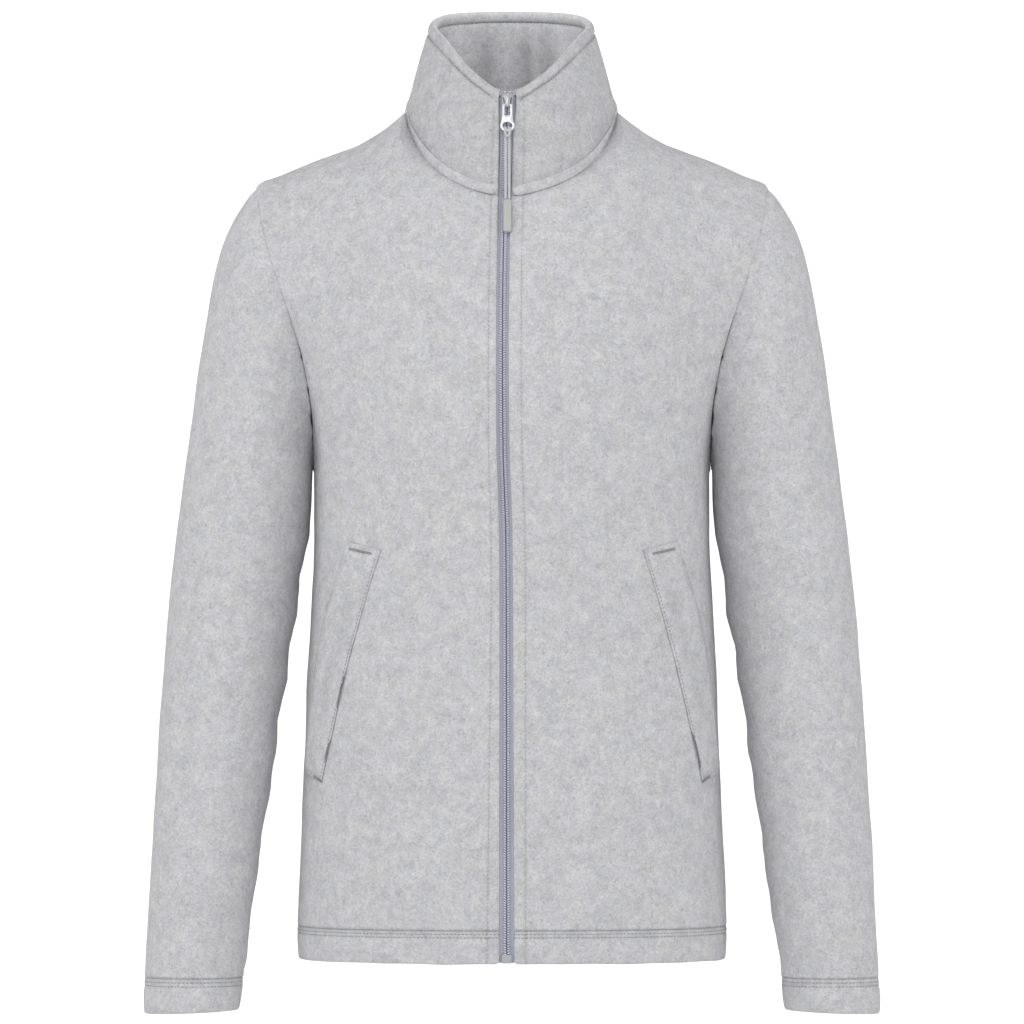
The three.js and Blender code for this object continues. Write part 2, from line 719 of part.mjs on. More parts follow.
function sweptRing(name, rings, material) {
  const sides = rings[0].length;
  const positions = rings.flat();
  const faces = [];
  for (let j = 0; j < rings.length - 1; j += 1) {
    for (let i = 0; i < sides; i += 1) {
      const a = j * sides + i;
      const b = j * sides + (i + 1) % sides;
      faces.push([a, b, b + sides], [a, b + sides, a + sides]);
    }
  }
  const end = (rings.length - 1) * sides;
  for (let i = 1; i < sides - 1; i += 1) {
    faces.push([0, i + 1, i], [end, end + i, end + i + 1]);
  }
  return closedMesh(name, positions, faces, material);
}

function behindFace({ x, y, z, inward }, across, depth) {
  return new THREE.Vector3(x + across, y + inward.y * depth, z + inward.z * depth);
}

function zipStrip(name, fromLevel, toLevel, outline, material) {
  // The outline gives how far each corner lies across from the zip's middle and in from the cloth's face.
  const rings = zipFrames(fromLevel, toLevel).map((frame) => (
    outline(frame.z).map(({ across, depth }) => behindFace(frame, across, depth))));
  return sweptRing(name, rings, material);
}

function zipTape(name, side) {
  const outline = (level) => {
    // In the collar the tape keeps within the opening, and behind the slider the tapes part round its post.
    const inOpening = smoothAt(zipLine, 'level', level, 'halfOpening') - tapeClearance;
    const reach = level > neckSeam[0].z - tapeStep ? inOpening : tapeReach;
    const parting = THREE.MathUtils.smoothstep(level, slider.middle - 3, slider.middle + 1);
    const start = THREE.MathUtils.lerp(seamGap, postGap, parting);
    return [
      { across: side * start, depth: tapeDepth },
      { across: side * reach, depth: tapeDepth },
      { across: side * reach, depth: tapeDepth + tapeWall },
      { across: side * start, depth: tapeDepth + tapeWall },
    ];
  };
  return zipStrip(name, hemLevel + 1, tapeTop, outline, finish(0xa6a9b8, 0.8, 0));
}

function zipChain() {
  const half = chainWidth / 2;
  const back = tapeDepth - chainSink;
  const outline = () => [
    { across: -half, depth: back },
    { across: -half, depth: back - chainWall * 0.6 },
    { across: -half * 0.6, depth: back - chainWall },
    { across: half * 0.6, depth: back - chainWall },
    { across: half, depth: back - chainWall * 0.6 },
    { across: half, depth: back },
  ];
  return zipStrip('zip_chain', chainFoot, chainTop, outline, finish(0x9da0b4, 0.5, 0));
}

function frameAt(level) {
  return zipFrames(level, level + 4)[0];
}

function softenedOutline(width, height, edge) {
  // A rectangle about the origin with its corners cut.
  const x = width / 2;
  const y = height / 2;
  const corners = [[-x, -y + edge], [-x + edge, -y], [x - edge, -y], [x, -y + edge],
    [x, y - edge], [x - edge, y], [-x + edge, y], [-x, y - edge]];
  return new THREE.Shape(corners.map(([across, up]) => new THREE.Vector2(across, up)));
}

function plate(outline, wall) {
  // Stands the outline upright in X and Z, with its wall across Y and its middle at the origin.
  const solid = new THREE.ExtrudeGeometry(outline, { depth: wall, bevelEnabled: false, curveSegments: 10 });
  solid.translate(0, 0, -wall / 2);
  solid.rotateX(Math.PI / 2);
  solid.deleteAttribute('normal');
  solid.deleteAttribute('uv');
  return mergeVertices(solid, weldDistance);
}

function block(width, wall, height, edge) {
  return plate(softenedOutline(width, height, edge), wall);
}

function placed(name, geometry, material, place, tilt) {
  const mesh = new THREE.Mesh(geometry, material);
  mesh.name = name;
  mesh.rotation.x = tilt;
  mesh.position.copy(place);
  return mesh;
}

function zipBlock(name, { level, width, height, depth }, across, material) {
  // Lies in the zip's opening, from a depth behind the face of the cloth to the tapes.
  const frame = frameAt(level);
  const to = tapeDepth - chainSink;
  const tilt = Math.atan2(frame.inward.z, frame.inward.y);
  const place = behindFace(frame, across, (depth + to) / 2);
  return placed(name, block(width, to - depth, height, blockEdge), material, place, tilt);
}

async function solids() {
  const wasm = await Module();
  wasm.setup();
  const toSolid = (geometry) => new wasm.Manifold(new wasm.Mesh({
    numProp: 3,
    vertProperties: Float32Array.from(geometry.attributes.position.array),
    triVerts: Uint32Array.from(geometry.index.array),
  }));
  const toGeometry = (solid) => {
    const { vertProperties, triVerts } = solid.getMesh();
    const geometry = new THREE.BufferGeometry();
    geometry.setAttribute('position', new THREE.BufferAttribute(Float32Array.from(vertProperties), 3));
    geometry.setIndex(Array.from(triVerts));
    return geometry;
  };
  return { toSolid, toGeometry };
}

function zipSlider({ toSolid, toGeometry }) {
  // Two plates joined by a post, and a bridge in front that the pull tab's bar turns under.
  const { width, height, plateWall, frontDepth, backDepth, postWidth, postHeight } = slider;
  const part = (size, y, z) => toSolid(block(...size, sliderEdge).translate(0, y, z));
  const top = height / 2;
  const post = { from: frontDepth, to: backDepth };
  const front = part([width, plateWall, height], frontDepth - plateWall / 2, 0);
  const back = part([width - 1.5, plateWall, height], backDepth + plateWall / 2, 0);
  const middle = part([postWidth, post.to - post.from + plateWall, postHeight], (post.from + post.to) / 2,
    top - postHeight / 2 - 0.4);
  const { bridgeWidth, bridgeTop, bridgeFoot, bridgeStandOff, tunnelTop, tunnelFoot } = slider;
  const plateFace = frontDepth - plateWall;
  const archWall = bridgeStandOff + plateFace + 0.4;
  const arch = part([bridgeWidth, archWall, bridgeTop - bridgeFoot], plateFace + 0.4 - archWall / 2,
    (bridgeTop + bridgeFoot) / 2 - slider.middle);
  const tunnelWall = slider.tunnelDepth + plateFace;
  const tunnel = toSolid(block(bridgeWidth + 2, tunnelWall, tunnelTop - tunnelFoot, sharpEdge)
    .translate(0, plateFace - tunnelWall / 2, (tunnelTop + tunnelFoot) / 2 - slider.middle));
  const body = front.add(back).add(middle).add(arch.subtract(tunnel));
  const frame = frameAt(slider.middle);
  const tilt = Math.atan2(frame.inward.z, frame.inward.y);
  return placed('zip_slider', toGeometry(body), metal(), behindFace(frame, 0, 0), tilt);
}

function pullTab({ toSolid, toGeometry }) {
  // A round bar under the slider's bridge, two arms, a solid middle and a ring for the cord.
  const { armReach, slotHalf, slotEnd, slotEdge, shoulderReach, shoulderDrop, bar, barSides, wall } = tab;
  const { ringDrop, ringOuter, ringHole, ringSides } = tab;
  const oval = (size, from, to, count) => Array.from({ length: count }, (_, i) => {
    const turn = THREE.MathUtils.lerp(from, to, i / (count - 1));
    return new THREE.Vector2(size.x * Math.cos(turn), size.y * Math.sin(turn) - ringDrop);
  });
  const outline = new THREE.Shape([
    new THREE.Vector2(-armReach, 0),
    new THREE.Vector2(-armReach, -slotEnd),
    new THREE.Vector2(-shoulderReach, -shoulderDrop),
    ...oval(ringOuter, Math.PI * 0.82, Math.PI * 2.18, ringSides),
    new THREE.Vector2(shoulderReach, -shoulderDrop),
    new THREE.Vector2(armReach, -slotEnd),
    new THREE.Vector2(armReach, 0),
  ]);
  const hole = new THREE.Shape(oval(ringHole, 0, Math.PI * 2 * (1 - 1 / ringSides), ringSides));
  const slot = block(2 * slotHalf, 2 * wall, 2 * slotEnd, slotEdge);
  const round = new THREE.CylinderGeometry(bar, bar, 2 * armReach, barSides).rotateZ(Math.PI / 2);
  round.deleteAttribute('normal');
  round.deleteAttribute('uv');
  const ring = toSolid(plate(outline, wall)).subtract(toSolid(plate(hole, 2 * wall)));
  const forked = ring.subtract(toSolid(slot));
  const body = forked.add(toSolid(mergeVertices(round, weldDistance)));
  const place = new THREE.Vector3(pivot.x, pivot.y, pivot.z);
  return placed('zip_pull_tab', toGeometry(body), metal(), place, -tab.lean);
}

function pullCord() {
  const route = new THREE.CatmullRomCurve3(
    cordRoute.map((p) => new THREE.Vector3(p.x, p.y, p.z)),
    false,
    'centripetal',
  );
  const section = new THREE.Shape();
  section.absarc(0, 0, cordDiameter / 2, 0, Math.PI * 2, false);
  const tube = new THREE.ExtrudeGeometry(section, { steps: cordSteps, extrudePath: route, curveSegments: 4 });
  tube.deleteAttribute('normal');
  tube.deleteAttribute('uv');
  const mesh = new THREE.Mesh(mergeVertices(tube, weldDistance), finish(0xc4c6c4, 0.8, 0));
  mesh.name = 'puller_cord';
  return mesh;
}

function pullTip() {
  const { width, wall, edge, top, foot } = tip;
  const length = Math.hypot(top.y - foot.y, top.z - foot.z);
  const lean = Math.atan2(top.y - foot.y, top.z - foot.z);
  const solid = block(width, wall, length, edge);
  const middle = new THREE.Vector3(top.x + foot.x, top.y + foot.y, top.z + foot.z).multiplyScalar(0.5);
  return placed('puller_tip', solid, finish(0xb4b7b5, 0.55, 0), middle, -lean);
}

const joiner = await solids();
const jacket = new THREE.Group();
jacket.add(
  frontPanel('front_left', -1),
  frontPanel('front_right', 1),
  backPanel(),
  sleevePart('sleeve_left', -1, 0, elbowStation),
  sleevePart('sleeve_right', 1, 0, elbowStation),
  sleevePart('lower_sleeve_left', -1, elbowStation, cuffStation),
  sleevePart('lower_sleeve_right', 1, elbowStation, cuffStation),
  collar(),
  pocketWelt('pocket_welt_left', -1),
  pocketWelt('pocket_welt_right', 1),
  zipTape('zip_tape_left', -1),
  zipTape('zip_tape_right', 1),
  zipChain(),
  zipBlock('zip_box', box, 0, finish(0xa9abb6, 0.5, 0)),
  zipBlock('zip_stop_left', stop, -stop.across, metal()),
  zipBlock('zip_stop_right', stop, stop.across, metal()),
  zipSlider(joiner),
  pullTab(joiner),
  pullCord(),
  pullTip(),
);

export default jacket;
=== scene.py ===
# Fleece zip jacket, filled out as worn: soft cloth shells, zip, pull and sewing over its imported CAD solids.
import math

import bmesh
import bpy
from mathutils import Matrix, Vector, noise
from mathutils.bvhtree import BVHTree
from mathutils.kdtree import KDTree


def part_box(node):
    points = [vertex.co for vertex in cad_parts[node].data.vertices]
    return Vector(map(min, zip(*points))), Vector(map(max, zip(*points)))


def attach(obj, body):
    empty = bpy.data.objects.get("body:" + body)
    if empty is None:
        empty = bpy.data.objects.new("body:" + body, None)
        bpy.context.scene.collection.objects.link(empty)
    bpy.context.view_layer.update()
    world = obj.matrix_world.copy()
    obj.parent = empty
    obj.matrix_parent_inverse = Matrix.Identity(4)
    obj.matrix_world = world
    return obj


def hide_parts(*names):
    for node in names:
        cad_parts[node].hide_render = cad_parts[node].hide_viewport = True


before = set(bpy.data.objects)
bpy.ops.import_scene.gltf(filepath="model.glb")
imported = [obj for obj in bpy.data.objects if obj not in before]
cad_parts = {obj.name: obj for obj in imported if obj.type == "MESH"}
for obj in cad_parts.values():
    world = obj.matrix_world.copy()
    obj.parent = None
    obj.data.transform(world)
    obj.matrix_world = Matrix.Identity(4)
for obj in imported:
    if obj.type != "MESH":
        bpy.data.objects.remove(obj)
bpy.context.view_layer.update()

MM = 0.001
BODY = "garment"
PULL = "zip_pull"

# The camera looks straight along +Y at the middle of the jacket
CAMERA_PLACE = (0, -8, -0.331)
VIEW_WIDTH = 0.860
SENSOR = 36
FLOOR_LEVEL = -1.42
FLOOR_RADIUS = 6

# Soft boxes: name, place, size and power; and the light of the world on the jacket and behind it
SOFTBOXES = (
    ("side_left", (-3.9, -2.2, 1.2), 2.4, 56),
    ("side_right", (3.9, -2.2, 0.9), 2.4, 49),
    ("top_front", (-0.4, -4.6, 2.2), 2.4, 58),
)
LIT_PLACE = (0, 0, -0.35)
WORLD_LIGHT = 0.53
BACKDROP_LIGHT = 1.2

# Cloth: how a shell is made from its solid
WELD = 0.01 * MM
CLOTH_LEVELS = 2
CREASE_ANGLE = 50
LONGEST_EDGE = 6 * MM
SEAM_REACH = 2 * MM
SLEEVE_JOIN = 2.2 * MM
QUAD_FLATNESS = 40
QUAD_SKEW = 60
HEM_LEVEL = -705.5 * MM

# The middle of a sleeve, in metres: x at a level and how fast it grows downwards; y from a level downwards,
# how far it comes forward and over what length
SLEEVE_X = (0.2165, -0.25)
SLEEVE_SPREAD = 0.104
SLEEVE_Y = (-0.004, -0.3)
SLEEVE_FORWARD = (0.021, 0.45)

# Where the cloth over the shoulders starts to face upwards, and how much less the body's sides face outwards
SHOULDER_START = -0.15
SIDE_SHARE = 0.5

# Each cloth piece: the solids that it stands for and the solids that it is sewn to
CLOTH = {
    "front_left": (("front_left",), ("back", "sleeve_left", "collar")),
    "front_right": (("front_right",), ("back", "sleeve_right", "collar")),
    "back": (("back",), ("front_left", "front_right", "sleeve_left", "sleeve_right", "collar")),
    "sleeve_left": (("sleeve_left", "lower_sleeve_left"), ("front_left", "back")),
    "sleeve_right": (("sleeve_right", "lower_sleeve_right"), ("front_right", "back")),
    "collar": (("collar",), ("front_left", "front_right", "back")),
    "pocket_welt_left": (("pocket_welt_left",), ()),
    "pocket_welt_right": (("pocket_welt_right",), ()),
}

# Melange yarn and brushed pile: scale, detail, roughness and distortion of each layer of noise
BLOTCH_NOISE = (85, 2, 0.5, 0.6)
CLUMP_NOISE = (260, 2, 0.55, 1.4)
GRAIN_NOISE = (760, 3, 0.65, 0.4)
FLECK_NOISE = (520, 1, 0.5, 0.8)
HUE_NOISE = (95, 2, 0.6, 0.5)
TUFT_NOISE = (330, 3, 0.6, 1.2)
NAP_NOISE = (1400, 2, 0.6, 0.5)
NOISE_RANGE = (0.3, 0.7)
FLECK_RANGE = (0.6, 0.74)
HUE_RANGE = (0.38, 0.62)
PILE_BUMP = (0.45, 0.0008)

# Soft relief of the filled-out cloth: size of its waves and their height
WAVES = ((55 * MM, 0.9 * MM), (17 * MM, 0.28 * MM))

# Roundness of the shoulder's tip, over the top of the armhole: where it is, how far it is lifted and how
# widely, in which direction, and how much slower it fades from front to back
SHOULDER_TIP = Vector((210.5 * MM, -8 * MM, -60.5 * MM))
SHOULDER_LIFT = (4.4 * MM, 13 * MM)
SHOULDER_LEAN = Vector((0.55, 0, 0.83))
SHOULDER_DEPTH = 0.55

# Creases of the body, in mm: side (-1 front, 1 back), start x and z, end x and z, sag, half width, height
BODY_CREASES = (
    (-1, -150, -560, -20, -605, -14, 11, -0.9),
    (-1, 20, -612, 152, -568, -16, 12, -1.0),
    (-1, -140, -618, -35, -648, -9, 9, 0.7),
    (-1, 40, -660, 150, -630, -10, 10, 0.8),
    (-1, -165, -300, -110, -345, 6, 9, -1.1),
    (-1, 112, -350, 166, -298, 5, 8, -1.0),
    (-1, -168, -335, -128, -372, 4, 8, 0.8),
    (-1, 130, -378, 168, -340, 4, 9, 0.8),
    (-1, -158, -180, -118, -232, 5, 10, -0.9),
    (-1, 120, -238, 158, -178, 5, 10, -0.9),
    (1, -160, -290, -84, -352, 9, 11, -1.2),
    (1, 90, -360, 162, -288, 8, 12, -1.3),
    (1, -120, -470, 10, -498, -12, 13, 1.0),
    (1, -30, -430, 118, -452, -14, 12, -1.1),
    (1, -148, -585, -10, -622, -15, 13, -1.1),
    (1, 15, -630, 150, -592, -13, 12, 0.9),
    (1, -100, -96, -40, -118, -6, 10, -0.8),
    (1, 38, -120, 104, -92, -6, 10, -0.8),
)

# Ripples of each sleeve: how far round from its inner side they reach, in radians; and in mm the level,
# slant and half width of each, and its height on the left and on the right
RIPPLE_REACH = 1.1
SLEEVE_RIPPLES = (
    (-352, 12, 9, 1.2, 1.0),
    (-386, 10, 8, -1.4, -1.1),
    (-417, 7, 10, 1.7, 1.9),
    (-446, 9, 7, -1.1, -1.5),
    (-472, 3, 9, 1.8, 1.4),
    (-505, -2, 8, -1.3, -0.9),
    (-529, 4, 9, 1.2, 1.7),
    (-566, -4, 11, 1.4, 1.0),
    (-598, 2, 8, -1.0, -1.2),
    (-634, -5, 9, 1.1, 0.8),
    (-668, 3, 10, -0.8, 1.0),
    (-704, -2, 8, 0.8, -0.7),
)

# Upright folds of the collar's back: degrees round the neck from its middle, half width, height in mm
COLLAR_FOLDS = (
    (-60, 7, 1.6), (-38, 5, -1.3), (-19, 5, 2.5), (-5, 6, -1.9), (11, 4, 2.7), (18, 3, -1.2), (26, 5, 2.3),
    (41, 6, -1.4), (60, 7, 1.7),
)

# Where these folds fade out, in metres, how much painted shade their hollows get and painted light their
# ridges, and the painted shade on the collar's outside and painted light on its inside
FOLD_TOP = 0.085
FOLD_FADE = 0.03
FOLD_SHADE = 0.09
COLLAR_PAINTED_SHADE_AND_LIGHT = {"outside": 0.07, "inside": -0.22}
COLLAR_FRONT_TOP = 17 * MM

# The ridge of the pressed seam allowance along the foot of the collar: its rise above the seam, half sizes,
# number of sides, how far it stays from the zip, and the share of its size that its ends have
RIDGE_RISE = 3.3 * MM
RIDGE_HALF = (4.3 * MM, 1.5 * MM)
RIDGE_SIDES = 14
RIDGE_CLEAR = 6 * MM
RIDGE_END = 0.35
NECK_CENTRE = Vector((0, -10 * MM, 0))

# Sewing: length, thickness and spacing of the stitches, and where the rows lie
STITCH_LENGTH = 2.5 * MM
STITCH_THICKNESS = 0.7 * MM
STITCH_PITCH = 3.3 * MM
HEM_ROWS = (22.1 * MM, 25.0 * MM)
HEM_FOLD = 27.9 * MM
CUFF_ROWS = (23.6 * MM, 26.8 * MM)
CUFF_FOLD = 30.2 * MM
COLLAR_ROW = 9.3 * MM

# Grooves that the sewing draws into the cloth: how near a row the cloth is divided finely, and how finely
GROOVE_REACH = 5 * MM
GROOVE_EDGE = 1.7 * MM

# The turned hem: how far its lower edge wanders and over what length, the height of the band that does so,
# how much the corners beside the zip are rounded, and where the cloth ends there
HEM_WANDER = (0.9 * MM, 38 * MM)
HEM_BAND = 14 * MM
HEM_CORNER = (1.3 * MM, 1.6 * MM)
ZIP_OFFSET = 4.4 * MM
ZIP_HALF_GAP = 6.5 * MM

# Stitches along the zip, in mm: level, and how far left and right of the zip's middle they lie
ZIP_ROWS = ((-704, 16.3, 15.6), (-600, 15.0, 15.7), (-400, 12.4, 15.8), (-68, 11.2, 15.2), (4, 11.0, 14.6))

# Bar stitches at the pocket ends, in mm: x and z of both ends on the left side of the jacket
POCKET_BARS = ((-135, -361, -117, -365), (-165.7, -550.8, -158.6, -555.0))
BAR_LIFTS = (0, -1.2)

# Pocket welts: how far up their slanted ends reach, how far from the seam the hollow and the stitches lie,
# how far outside the edges the grooves of the border and of the free edge lie, and the levels of the hollow
# and of the free edge's foot
WELT_TILT = 8.5 * MM
WELT_HOLLOW = 13 * MM
WELT_STITCH = 1.3 * MM
WELT_BORDER = 0.3 * MM
WELT_LIP = 0.7 * MM
HOLLOW_LEVELS = (-0.49, -0.40)
LIP_FOOT = -0.47

# The upper part of the armhole: its foot, and the middle that its seam is followed round, as y and z
ARMHOLE_FOOT = -0.27
ARMHOLE_MIDDLE = (-0.004, -0.17)

# Rays that find the cloth from the front: where they start and which way they go
FAR_AHEAD = -0.3
INTO_JACKET = Vector((0, 1, 0))

# Zip: its coil's teeth
CHAIN_FROM = -697 * MM
CHAIN_TO = 11 * MM
TOOTH_PITCH = 1.4 * MM
TOOTH_LENGTH = 2.3 * MM
TOOTH_WIDTH = 0.78 * MM
TOOTH_DEPTH = 2.1 * MM
TOOTH_SLANT = 0.45 * MM
TOOTH_START = 0.4 * MM
CORE_SIZE = (5 * MM, 0.6 * MM, 8.4 * MM)
CORE_STEP = 8 * MM
CORE_DEPTH = 1.8 * MM
SMALL_EDGE = 0.2 * MM

# Slider: how much narrower it is at its foot and at its top, and the bars of painted shade in the slots
# beside its bridge
SLIDER_WAIST = 0.26
SLIDER_CROWN = 0.5
RECESS_SIZE = (1.1 * MM, 0.5 * MM, 5.4 * MM)
RECESS_ACROSS = 2.9 * MM
RECESS_RISE = 0.6 * MM
RECESS_TURN = 0.12

# Cord of the pull, in mm along its route: out of the tip, through the ring as a hitch, and back into the tip
CORD_DIAMETER = 0.0022
CORD_ROUTE = [
    (-5.3, -99.9, -71.4), (-5.3, -98.9, -60), (-5.3, -98.7, -45), (-5.3, -97.9, -30),
    (-5.3, -96.5, -22), (-5.2, -95.1, -17.4), (-5.2, -94.9, -14.6), (-5.3, -96.8, -12.2),
    (-5.4, -98.9, -13.2), (-5.6, -99.6, -15.4), (-5.3, -100, -17.8), (-3.8, -100.3, -19),
    (-2.3, -100, -17.8), (-2, -99.6, -15.4), (-2.2, -98.9, -13.2), (-2.3, -96.8, -12.2),
    (-2.4, -94.9, -14.6), (-2.4, -95.1, -17.4), (-2.3, -96.5, -22), (-2.3, -97.9, -30),
    (-2.3, -98.7, -45), (-2.3, -98.9, -60), (-2.3, -99.9, -71.4),
]


def deselect_all():
    for shown in bpy.context.selected_objects:
        shown.select_set(False)


def make_active(piece):
    deselect_all()
    piece.select_set(True)
    bpy.context.view_layer.objects.active = piece


def add_object(name, mesh):
    piece = bpy.data.objects.new(name, mesh)
    bpy.context.collection.objects.link(piece)
    return piece


def finish_piece(piece, material, body, slot, *nodes):
    piece.data.materials.clear()
    piece.data.materials.append(material)
    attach(piece, body)
    if nodes:
        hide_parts(*nodes)
    return piece


# Shader node groups


class Shader:
    """Adds nodes to one node tree and joins them."""

    def __init__(self, tree):
        self.tree = tree

    def node(self, kind, **settings):
        made = self.tree.nodes.new(kind)
        for name, value in settings.items():
            setattr(made, name, value)
        return made

    def join(self, start, end):
        self.tree.links.new(start, end)

    def math(self, operation, first, second):
        made = self.node("ShaderNodeMath", operation=operation)
        for index, value in enumerate((first, second)):
            if isinstance(value, (int, float)):
                made.inputs[index].default_value = value
            else:
                self.join(value, made.inputs[index])
        return made.outputs[0]

    def noise(self, place, scale, detail=2.0, roughness=0.5, distortion=0.0):
        made = self.node("ShaderNodeTexNoise")
        made.inputs["Scale"].default_value = scale
        made.inputs["Detail"].default_value = detail
        made.inputs["Roughness"].default_value = roughness
        made.inputs["Distortion"].default_value = distortion
        self.join(place, made.inputs["Vector"])
        return made.outputs["Fac"]

    def spread(self, value, low, high, new_low, new_high):
        made = self.node("ShaderNodeMapRange")
        self.join(value, made.inputs["Value"])
        limits = {"From Min": low, "From Max": high, "To Min": new_low, "To Max": new_high}
        for name, number in limits.items():
            made.inputs[name].default_value = number
        return made.outputs["Result"]


def new_group(name, inputs, outputs):
    group = bpy.data.node_groups.new(name, "ShaderNodeTree")
    for label, kind, value in inputs:
        made = group.interface.new_socket(label, in_out="INPUT", socket_type=kind)
        if value is not None:
            made.default_value = value
    for label, kind in outputs:
        group.interface.new_socket(label, in_out="OUTPUT", socket_type=kind)
    shader = Shader(group)
    return group, shader, shader.node("NodeGroupInput"), shader.node("NodeGroupOutput")


def heather_group():
    """Mottled melange yarn as a factor about 1: blotches, clumps of fibre, fine grain and dark flecks."""
    group, shader, given, result = new_group(
        "heather",
        [
            ("Place", "NodeSocketVector", None),
            ("Blotch", "NodeSocketFloat", 0.07),
            ("Clump", "NodeSocketFloat", 0.12),
            ("Grain", "NodeSocketFloat", 0.12),
            ("Fleck", "NodeSocketFloat", 0.16),
        ],
        [("Tone", "NodeSocketFloat"), ("Hue", "NodeSocketFloat")],
    )
    place = given.outputs["Place"]
    blotch = shader.spread(shader.noise(place, *BLOTCH_NOISE), *NOISE_RANGE, -1, 1)
    clump = shader.spread(shader.noise(place, *CLUMP_NOISE), *NOISE_RANGE, -1, 1)
    grain = shader.spread(shader.noise(place, *GRAIN_NOISE), *NOISE_RANGE, -1, 1)
    fleck = shader.spread(shader.noise(place, *FLECK_NOISE), *FLECK_RANGE, 0, 1)
    tone = shader.math("MULTIPLY", blotch, given.outputs["Blotch"])
    tone = shader.math("ADD", tone, shader.math("MULTIPLY", clump, given.outputs["Clump"]))
    tone = shader.math("ADD", tone, shader.math("MULTIPLY", grain, given.outputs["Grain"]))
    tone = shader.math("SUBTRACT", tone, shader.math("MULTIPLY", fleck, given.outputs["Fleck"]))
    shader.join(shader.math("ADD", tone, 1.0), result.inputs["Tone"])
    shader.join(shader.noise(place, *HUE_NOISE), result.inputs["Hue"])
    return group


def pile_group():
    """Brushed pile: small soft tufts and a finer nap, as a height."""
    group, shader, given, result = new_group(
        "pile",
        [("Place", "NodeSocketVector", None), ("Nap", "NodeSocketFloat", 0.45)],
        [("Height", "NodeSocketFloat")],
    )
    place = given.outputs["Place"]
    tuft = shader.noise(place, *TUFT_NOISE)
    nap = shader.math("MULTIPLY", shader.noise(place, *NAP_NOISE), given.outputs["Nap"])
    shader.join(shader.math("ADD", tuft, nap), result.inputs["Height"])
    return group


HEATHER = heather_group()
PILE = pile_group()


def new_material(name):
    material = bpy.data.materials.new(name)
    material.use_nodes = True
    shader = Shader(material.node_tree)
    surface = material.node_tree.nodes["Principled BSDF"]
    place = shader.node("ShaderNodeTexCoord").outputs["Object"]
    return material, shader, surface, place


def placed_group(shader, group, place, **values):
    made = shader.node("ShaderNodeGroup")
    made.node_tree = group
    shader.join(place, made.inputs["Place"])
    for name, value in values.items():
        made.inputs[name].default_value = value
    return made


def bump(shader, surface, height, strength, distance):
    made = shader.node("ShaderNodeBump")
    made.inputs["Strength"].default_value = strength
    made.inputs["Distance"].default_value = distance
    shader.join(height, made.inputs["Height"])
    shader.join(made.outputs["Normal"], surface.inputs["Normal"])


def fleece_material(name, cool, warm, **tones):
    material, shader, surface, place = new_material(name)
    heather = placed_group(shader, HEATHER, place, **tones)
    tint = shader.node("ShaderNodeMix", data_type="RGBA")
    tint.inputs["A"].default_value = (*cool, 1)
    tint.inputs["B"].default_value = (*warm, 1)
    shader.join(shader.spread(heather.outputs["Hue"], *HUE_RANGE, 0, 1), tint.inputs["Factor"])
    toned = shader.node("ShaderNodeVectorMath", operation="SCALE")
    shader.join(tint.outputs["Result"], toned.inputs[0])
    # The seam attribute carries painted shade along the grooves, in the collar's fold hollows and on its
    # outside, and painted light (negative values) on the collar's inside and fold ridges; it scales the base
    # colour
    seam = shader.node("ShaderNodeAttribute", attribute_name="seam").outputs["Fac"]
    shaded = shader.math("MULTIPLY", heather.outputs["Tone"], shader.math("SUBTRACT", 1.0, seam))
    shader.join(shaded, toned.inputs["Scale"])
    shader.join(toned.outputs[0], surface.inputs["Base Color"])
    surface.inputs["Roughness"].default_value = 0.95
    surface.inputs["Specular IOR Level"].default_value = 0.12
    surface.inputs["Sheen Weight"].default_value = 0.12
    surface.inputs["Sheen Roughness"].default_value = 0.5
    pile = placed_group(shader, PILE, place)
    bump(shader, surface, pile.outputs["Height"], *PILE_BUMP)
    return material


def plain_material(name, color, roughness, metallic, grain, grain_scale, bump_height):
    """A finish with a little mottling in its colour and a fine uneven surface."""
    material, shader, surface, place = new_material(name)
    mottle = shader.spread(shader.noise(place, grain_scale, 3, 0.6), *NOISE_RANGE, 1 - grain, 1 + grain)
    toned = shader.node("ShaderNodeVectorMath", operation="SCALE")
    toned.inputs[0].default_value = color
    shader.join(mottle, toned.inputs["Scale"])
    shader.join(toned.outputs[0], surface.inputs["Base Color"])
    surface.inputs["Roughness"].default_value = roughness
    surface.inputs["Metallic"].default_value = metallic
    if bump_height:
        bump(shader, surface, shader.noise(place, grain_scale * 2, 2, 0.5), 0.3, bump_height)
    return material


FLEECE = fleece_material("heather_fleece", (0.560, 0.562, 0.590), (0.590, 0.588, 0.594))
TAPE = plain_material("zip_tape_weave", (0.53, 0.54, 0.64), 0.8, 0, 0.16, 1500, 0.0003)
COIL = plain_material("zip_coil_nylon", (0.86, 0.87, 0.95), 0.4, 0, 0.06, 900, 0)
# Dark filler cord: partly the cord's own colour, partly painted shade in the gaps between the coil's teeth
FILLER_CORD_AND_SHADE = plain_material("zip_filler_cord_and_painted_shade", (0.13, 0.14, 0.20), 0.8, 0, 0.15, 1800, 0.0002)
BOX = plain_material("zip_box_plastic", (0.43, 0.46, 0.46), 0.4, 0, 0.04, 600, 0.00003)
